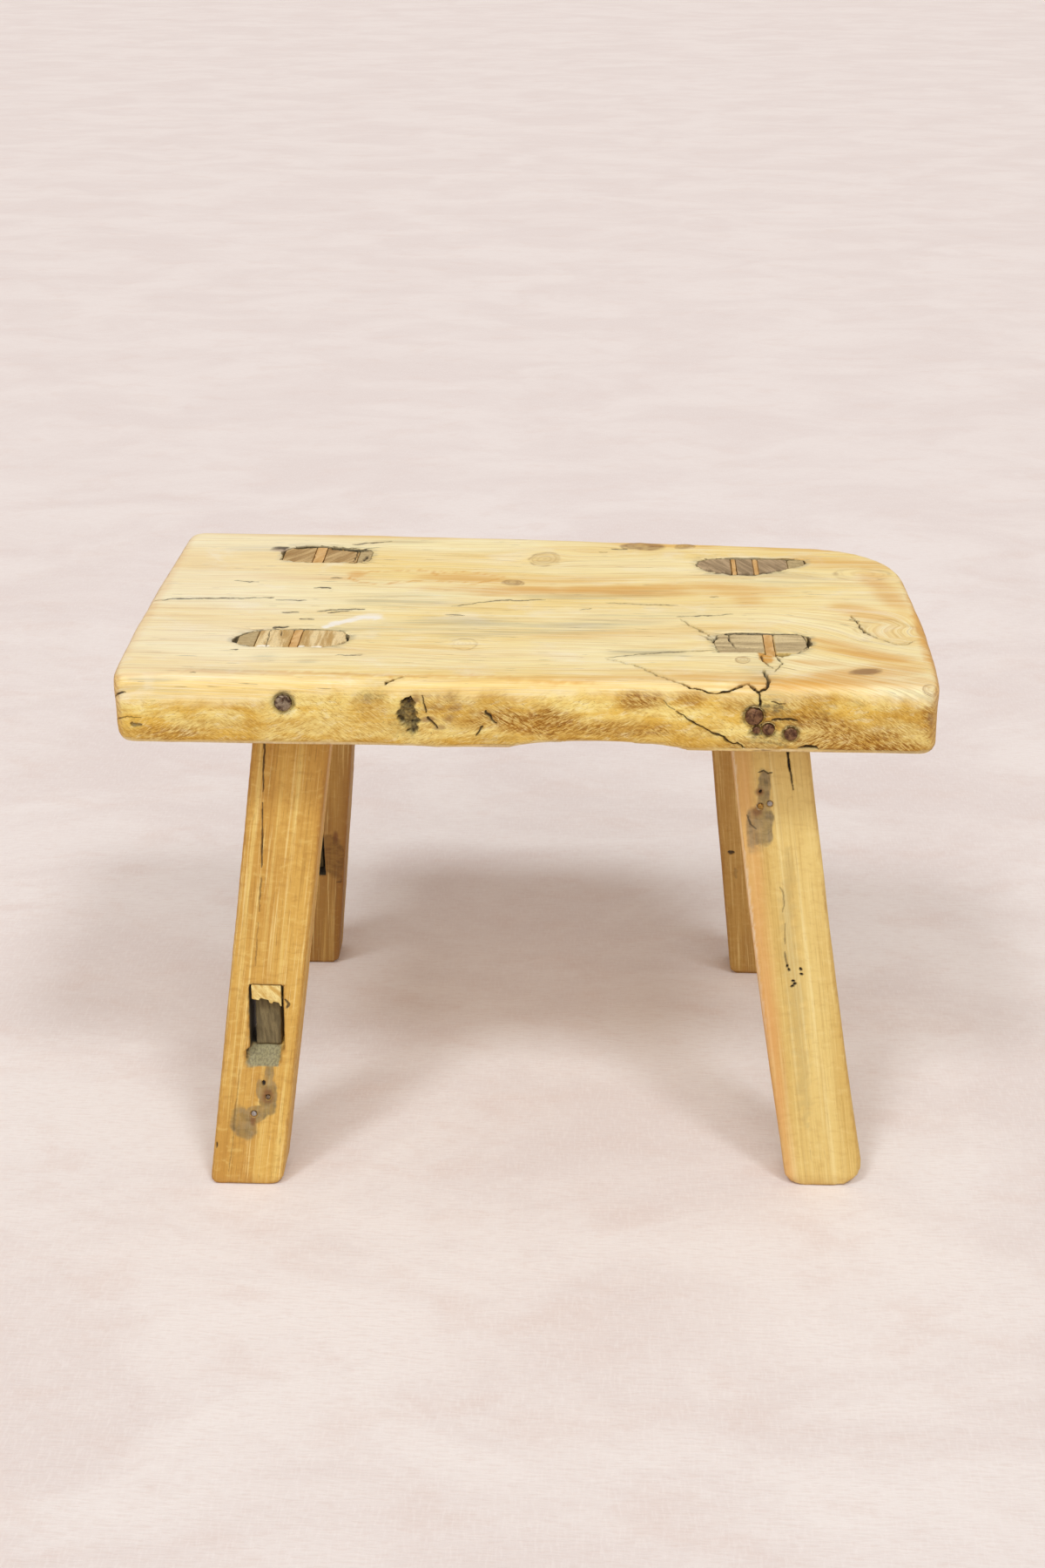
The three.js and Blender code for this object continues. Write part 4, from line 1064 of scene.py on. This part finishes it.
def make_leg(node, data):
    top, foot = leg_axis(node)
    marks = data["cracks"]

    def nearness(p):
        uv = p[:, [0, 2]]
        best = np.full(len(p), 1e9)
        for line, width, _, _ in marks:
            best = np.minimum(best, to_line(uv, line)[0] - width / 2)
        for pit in data["pits"]:
            best = np.minimum(best, np.hypot(uv[:, 0] - pit[0], uv[:, 1] - pit[1]) - 1)
        for centre, radii, _ in data["stains"]:
            best = np.minimum(best, np.hypot(*((uv - centre).T)) - max(radii) + 1.2)
        behind = p[:, 1] > leg_middle(p[:, 2], top, foot)[:, 1] - 6
        best = np.where(behind, 1e9, best)
        return np.where(p[:, 2] > top[2] - 2.5, 1.0, best)

    piece = dense(node, LEG_GRID, nearness, LEG_BANDS)
    mesh = piece.data
    p = points_of(mesh) / MM
    n = normals_of(mesh)
    across = p - leg_middle(p[:, 2], top, foot)
    uv = p[:, [0, 2]]
    ahead = smooth(-n[:, 1], 0.4, 0.75) * (across[:, 1] < -6)
    s = data["seed"] * 100
    push = 0.35 * noise(p, (22, 22, 60), s, 2) + 0.1 * noise(p, (5, 5, 22), s + 1, 2)
    corner = smooth(np.sort(np.abs(n), axis=1)[:, 1], 0.25, 0.6) * (p[:, 2] < BOTTOM - 1)
    push = push * (p[:, 2] < top[2] - 30) - corner * (0.25 + 0.35 * noise(p, (4, 4, 12), s + 2, 3))
    nearfoot = smooth(p[:, 2], 7, 0)
    push = push - nearfoot * corner * (0.5 + 0.8 * noise(p, 3.5, s + 3, 2))
    cut, dark, grey, red, inner, lip, rust, pale = np.zeros((8, len(p)))
    # cracks and pits are painted dark: grime, and painted shade inside them
    for i, (line, width, depth, darkness) in enumerate(marks):
        mask = stroke(uv, line, width, seed=s + i, wobble=0.3) * ahead
        cut = np.maximum(cut, mask * depth)
        dark = np.maximum(dark, mask * darkness)
    for i, pit in enumerate(data["pits"]):
        mask = blob(uv, pit, (0.65, 0.95), 20 * i, 0.3, 0.3, s + i, 1.5) * ahead
        cut = np.maximum(cut, 1.4 * mask)
        dark = np.maximum(dark, mask)
    squareness = 4 if node == "leg_front_right" else 2
    for i, (centre, radii, turn) in enumerate(data["stains"]):
        patch = blob(uv, centre, radii, turn, 0.3, 0.14, s + 20 + i, 4.0, squareness)
        grey = np.maximum(grey, patch * ahead * (0.8 + 0.3 * noise(p, 4.0, s + 25, 2)))
    if node == "leg_front_right":
        streak = stroke(uv, [(139, 190), (140, 150), (146, 110), (152, 70), (155, 35)], 7, 0.9, True, 2.0, 5)
        grey = np.maximum(grey, 0.22 * streak * ahead)
    end = smooth(n[:, 2], 0.5, 0.8) * (p[:, 2] > top[2] - 4)
    if node == "leg_front_right":
        red = 0.6 * smooth(across[:, 0], -8, -16) * np.clip(0.8 + 0.5 * noise(p, (10, 10, 50), 44, 2), 0, 1)
    edge = corner * np.clip(0.5 + 0.8 * noise(p, (6, 6, 18), s + 4, 3), 0, 1) * 0.8
    edge = np.maximum(edge, 0.55 * nearfoot * np.clip(0.6 + noise(p, 6.0, s + 5, 2), 0, 1))
    for i, (centre, radii) in enumerate(data["rust"]):
        rust = np.maximum(rust, 0.75 * blob(uv, centre, radii, 0, 0.3, 0.6, s + 60 + i, 3.0) * ahead)
    if node == "leg_front_right":
        # on the front right leg a pale painted highlight runs along the left arris, in place of the darker
        # edge wear
        highlit_left_arris = corner * (across[:, 0] < -10) * (n[:, 1] < -0.1)
        edge = edge * (1 - highlit_left_arris)
        pale = 0.5 * highlit_left_arris * np.clip(0.8 + 0.6 * noise(p, (6, 6, 30), 45, 2), 0, 1)
        pale = pale * smooth(p[:, 2], 60, 130)
    if node == "leg_front_left":
        for i, (x0, x1) in enumerate(TENON_SPLINTERS):
            sliver = stroke(p[:, :2], [(x0, -75), (x1, -74)], 1.9, 0.3, True, 0.5, 80 + i)
            pale = np.maximum(pale, 0.95 * sliver * (p[:, 2] > TOP - 3))
    if node in ("leg_front_left", "leg_back_left"):
        # inside the rail mortise: its walls face each other along X or Z, well inside the leg, and are given
        # painted shade
        low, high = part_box("rail_stub_" + node[4:])
        low, high = low.z / MM, high.z / MM
        between = np.abs(across[:, 0] + 1.5) < 13
        inside = (p[:, 2] > low - 10) & (p[:, 2] < high + 12) & between
        inner = inside * smooth(np.abs(across[:, 1]), 12.6, 11.4)
        dark = np.maximum(dark, 0.7 * inner * smooth(np.abs(across[:, 1]), 11, 6))
        if node == "leg_front_left":
            lip = (p[:, 2] < low + 2) & (p[:, 2] > low - 9.5) & (across[:, 1] < -1) & between
            lip = lip * smooth(n[:, 2], 0.2, 0.5) * smooth(-n[:, 1], 0.25, 0.5)
            inner = inner * (1 - lip)
            dark = dark * (1 - lip)
    # painted shade: the leg's sides inside the seat's mortise are painted dark
    walls = (p[:, 2] > BOTTOM) & (p[:, 2] < top[2] - 1.2)
    dark = np.maximum(dark, 0.6 * walls)
    # the tenon tops sink where worn, and their open gaps are painted dark as painted shade
    down, open_ = sink_tenons(p)
    dark = np.maximum(dark, open_)
    worn = p + n * (push - cut)[:, None]
    worn[:, 2] = np.maximum(worn[:, 2] - down, 0)
    write_points(mesh, worn * MM)
    paint(mesh, "grain", (across * [1, 1, 0] + np.column_stack([np.zeros((len(p), 2)), p[:, 2]])) * MM)
    paint_all(
        mesh, dark=dark, grey=grey, end=end, red=red, edge=edge,
        inner=inner, lip=lip, rust=rust, pale=pale,
    )
    return place(piece, node, leg_material(node, data))


# ---------------------------------------------------------------- small wooden pieces


def small_wood(name, low, high, dark_line, scale, turn, rough=0.75):
    g = Graph(name)
    spot = g.place()
    line = g.pattern(spot, scale, 4, 0.6, 0.3, turn=turn)
    fine = g.pattern(spot, (1800, 1800, 1800), 3, 0.6)
    patch = g.pattern(spot, (90, 90, 90), 3, 0.6)
    colour = g.mix(g.step(line, 0.36, 0.66), tint(low), tint(high))
    colour = g.layers(colour, (
        (patch, 0.5, 0.75, 0.35, dark_line),
        (line, 0.62, 0.72, 0.5, dark_line),
        (fine, 0.5, 0.75, 0.3, dark_line),
    ))
    # dark: painted shade in the open gaps round the tenons, and grime with painted shade in cracks
    colour = g.coat(colour, "dark", "261c14")
    height = g.add(g.times(line, 0.7), g.times(fine, 0.4))
    return g.finish(colour, g.step(patch, 0.3, 0.7, rough - 0.1, rough + 0.1), height, 0.0004, specular=0.3)


def make_small(node, voxel, material, amount, size, seed):
    piece = dense(node, voxel)
    mesh = piece.data
    p = points_of(mesh) / MM
    n = normals_of(mesh)
    if node.startswith("nail"):
        down = dark = np.zeros(len(p))
    else:
        # dark: painted shade in the open gaps round the tenons, and grime with painted shade in their cracks
        down, dark = sink_tenons(p, node.startswith("wedge"))
    p = p + n * (amount * noise(p, size, seed, 3) - 0.3 * amount)[:, None]
    if node == "rail_stub_front_left":
        # the broken stub has swollen and split towards the left
        low, high = p.min(0), p.max(0)
        p[:, 0] -= 3.0 * smooth(p[:, 0], high[0] - 2, low[0] + 1)
        p[:, 2] += 1.6 * smooth(p[:, 2], high[2] - 5, high[2]) * noise(p, 3.0, 77, 2)
    if node == "rail_key_front_left":
        # the key's lower edge is torn, and hangs lower at its right
        low, high = p.min(0), p.max(0)
        right = (p[:, 0] - low[0]) / (high[0] - low[0])
        step = np.where(noise(p * [1, 0, 0], 2.4, 78) > 0, 1.2, -0.4)
        p[:, 2] -= smooth(p[:, 2], high[2] - 3, low[2]) * (4.2 * right + step - 1.2)
        p[:, 0] += 1.0 * smooth(right, 0.6, 1) - 1.2 * smooth(right, 0.4, 0)
    p[:, 2] -= down
    write_points(mesh, p * MM)
    paint(mesh, "dark", dark)
    return place(piece, node, material)


def iron(name, low, high, rust, shine):
    g = Graph(name)
    spot = g.place()
    patch = g.pattern(spot, (330, 330, 330), 5, 0.65, 0.4)
    pits = g.pattern(spot, (1700, 1700, 1700), 3, 0.6)
    colour = g.mix(g.step(patch, 0.38, 0.62), tint(low), tint(high))
    colour = g.coat(colour, g.times(g.step(pits, 0.52, 0.7), 0.6), rust)
    rough = g.step(patch, 0.35, 0.7, shine, shine + 0.3)
    metal = g.step(pits, 0.7, 0.4, 0.35, 0.85)
    return g.finish(colour, rough, g.add(g.times(patch, 0.8), g.times(pits, 0.5)), 0.0004, metal, 0.5)


# ---------------------------------------------------------------- build

make_seat()
for leg_name, leg_data in LEGS.items():
    make_leg(leg_name, leg_data)

wedge = small_wood("wedge_wood", "cf9f5c", "e6bd80", "b07f45", (240, 60, 900), (0, 0, 12))
slip = small_wood("slip_wood", "b39a6c", "cdb684", "6f5c3d", (300, 1100, 200), (0, 0, 8), 0.8)
key = small_wood("key_wood", "cfa656", "f3dc94", "a97c35", (420, 60, 130), (0, 40, 0))
stub = small_wood("stub_wood", "66583c", "857450", "352b1e", (700, 200, 60), (0, 6, 0), 0.85)
old_iron = iron("old_iron", "4b382a", "a08f78", "74421f", 0.2)
rusty_iron = iron("rusty_iron", "4f3424", "8e6a4a", "7c3f1c", 0.28)
steel = iron("worn_steel", "8e857d", "b9b2aa", "6e4a32", 0.28)
brass = iron("worn_brass", "9c7332", "c79a4c", "5c4320", 0.3)
FINISHES = {  # start of a piece's name: slot and material. The longest start that fits is taken.
    "wedge": ("wedge", wedge),
    "slip": ("slip", slip),
    "rail_stub": ("stub", stub),
    "rail_key": ("key", key),
    "nail": ("iron", old_iron),
    "nail_front_right": ("iron", rusty_iron),
    "nail_leg": ("steel", steel),
    "nail_leg_front_left_2": ("iron", old_iron),
    "nail_leg_front_right_1": ("brass", brass),
    "nail_seat_top": ("steel", steel),
}
for index, node_name in enumerate(sorted(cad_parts)):
    if node_name == "seat_slab" or node_name.startswith("leg_"):
        continue
    piece_slot, finish = FINISHES[max((start for start in FINISHES if node_name.startswith(start)), key=len)]
    if node_name.startswith("nail"):
        make_small(node_name, NAIL_GRID, finish, 0.22, 1.6, 300 + index)
    else:
        make_small(node_name, WOOD_GRID, finish, 0.35, (3, 3, 5), 300 + index)

# ---------------------------------------------------------------- stage, light and camera


def make_floor():
    mesh = bpy.data.meshes.new("floor")
    bm = bmesh.new()
    bmesh.ops.create_grid(bm, x_segments=24, y_segments=24, size=14.0)
    bm.to_mesh(mesh)
    bm.free()
    floor = bpy.data.objects.new("floor", mesh)
    bpy.context.scene.collection.objects.link(floor)
    g = Graph("plaster_board")
    spot = g.place()
    parts = g.tree.nodes.new("ShaderNodeSeparateXYZ")
    g.wire(spot, parts.inputs[0])
    y = parts.outputs[1]
    cloud = g.pattern(spot, (5, 8, 1), 6, 0.65, 0.6)
    patch = g.pattern(spot, (16, 30, 1), 5, 0.6, 0.4, shift=(3, 1, 0))
    weave = g.pattern(spot, (110, 620, 1), 4, 0.6)
    weave_2 = g.pattern(spot, (620, 130, 1), 4, 0.6)
    colour = g.mix(g.step(cloud, 0.36, 0.64), tint("f1e8e1"), tint("e8dcd5"))
    colour = g.layers(colour, (
        (patch, 0.5, 0.7, 0.35, "e3cfc4"),
        (weave, 0.45, 0.7, 0.3, "dfcbc0"),
        (weave_2, 0.45, 0.7, 0.3, "f7efe9"),
    ))
    # painted shade: the floor is darker from 0.1 m to 0.45 m behind the stool, in place of the shade there
    # and of a backdrop's fold, which is not built
    colour = g.coat(colour, g.step(y, 0.1, 0.45, 0.0, 0.12), "dcc9c2")
    colour = g.coat(colour, g.step(y, 0.46, 1.4, 0.0, 0.3), "ebe0da")
    floor.data.materials.append(g.finish(colour, 0.9, weave, 0.0002, specular=0.1))


def soft_light(name, toward, strength, colour, angle=11):
    light = bpy.data.lights.new(name, "SUN")
    light.angle = math.radians(angle)
    light.energy = strength
    light.color = colour
    obj = bpy.data.objects.new(name, light)
    obj.rotation_mode = "QUATERNION"
    obj.rotation_quaternion = Vector(toward).to_track_quat("Z", "Y")
    bpy.context.scene.collection.objects.link(obj)


make_floor()
soft_light("left_softbox", (-0.39, -0.54, 1.0), 0.73, (0.9, 1.0, 1.09))
soft_light("right_softbox", (0.40, -0.54, 1.0), 0.70, (0.9, 1.0, 1.09))
soft_light("front_fill", (0.0, -1.3, 1.0), 0.82, (0.98, 0.99, 1.02), 46)
soft_light("overhead", (0.0, -0.1, 1.0), 0.34, (0.98, 0.99, 1.02), 90)
world = bpy.data.worlds.new("studio")
world.use_nodes = True
world.node_tree.nodes["Background"].inputs[0].default_value = (1.0, 0.85, 0.77, 1)
world.node_tree.nodes["Background"].inputs[1].default_value = 0.41
bpy.context.scene.world = world
bpy.context.scene.view_settings.view_transform = "Standard"

lens = bpy.data.cameras.new("camera")
lens.lens = 50
lens.sensor_width = 36
lens.sensor_fit = "AUTO"
camera = bpy.data.objects.new("camera", lens)
camera.location = (0.04094, -1.12721, 0.70704)
camera.rotation_euler = (math.radians(65.091), 0, math.radians(2.35))
bpy.context.scene.collection.objects.link(camera)
bpy.context.scene.camera = camera

bpy.context.view_layer.update()
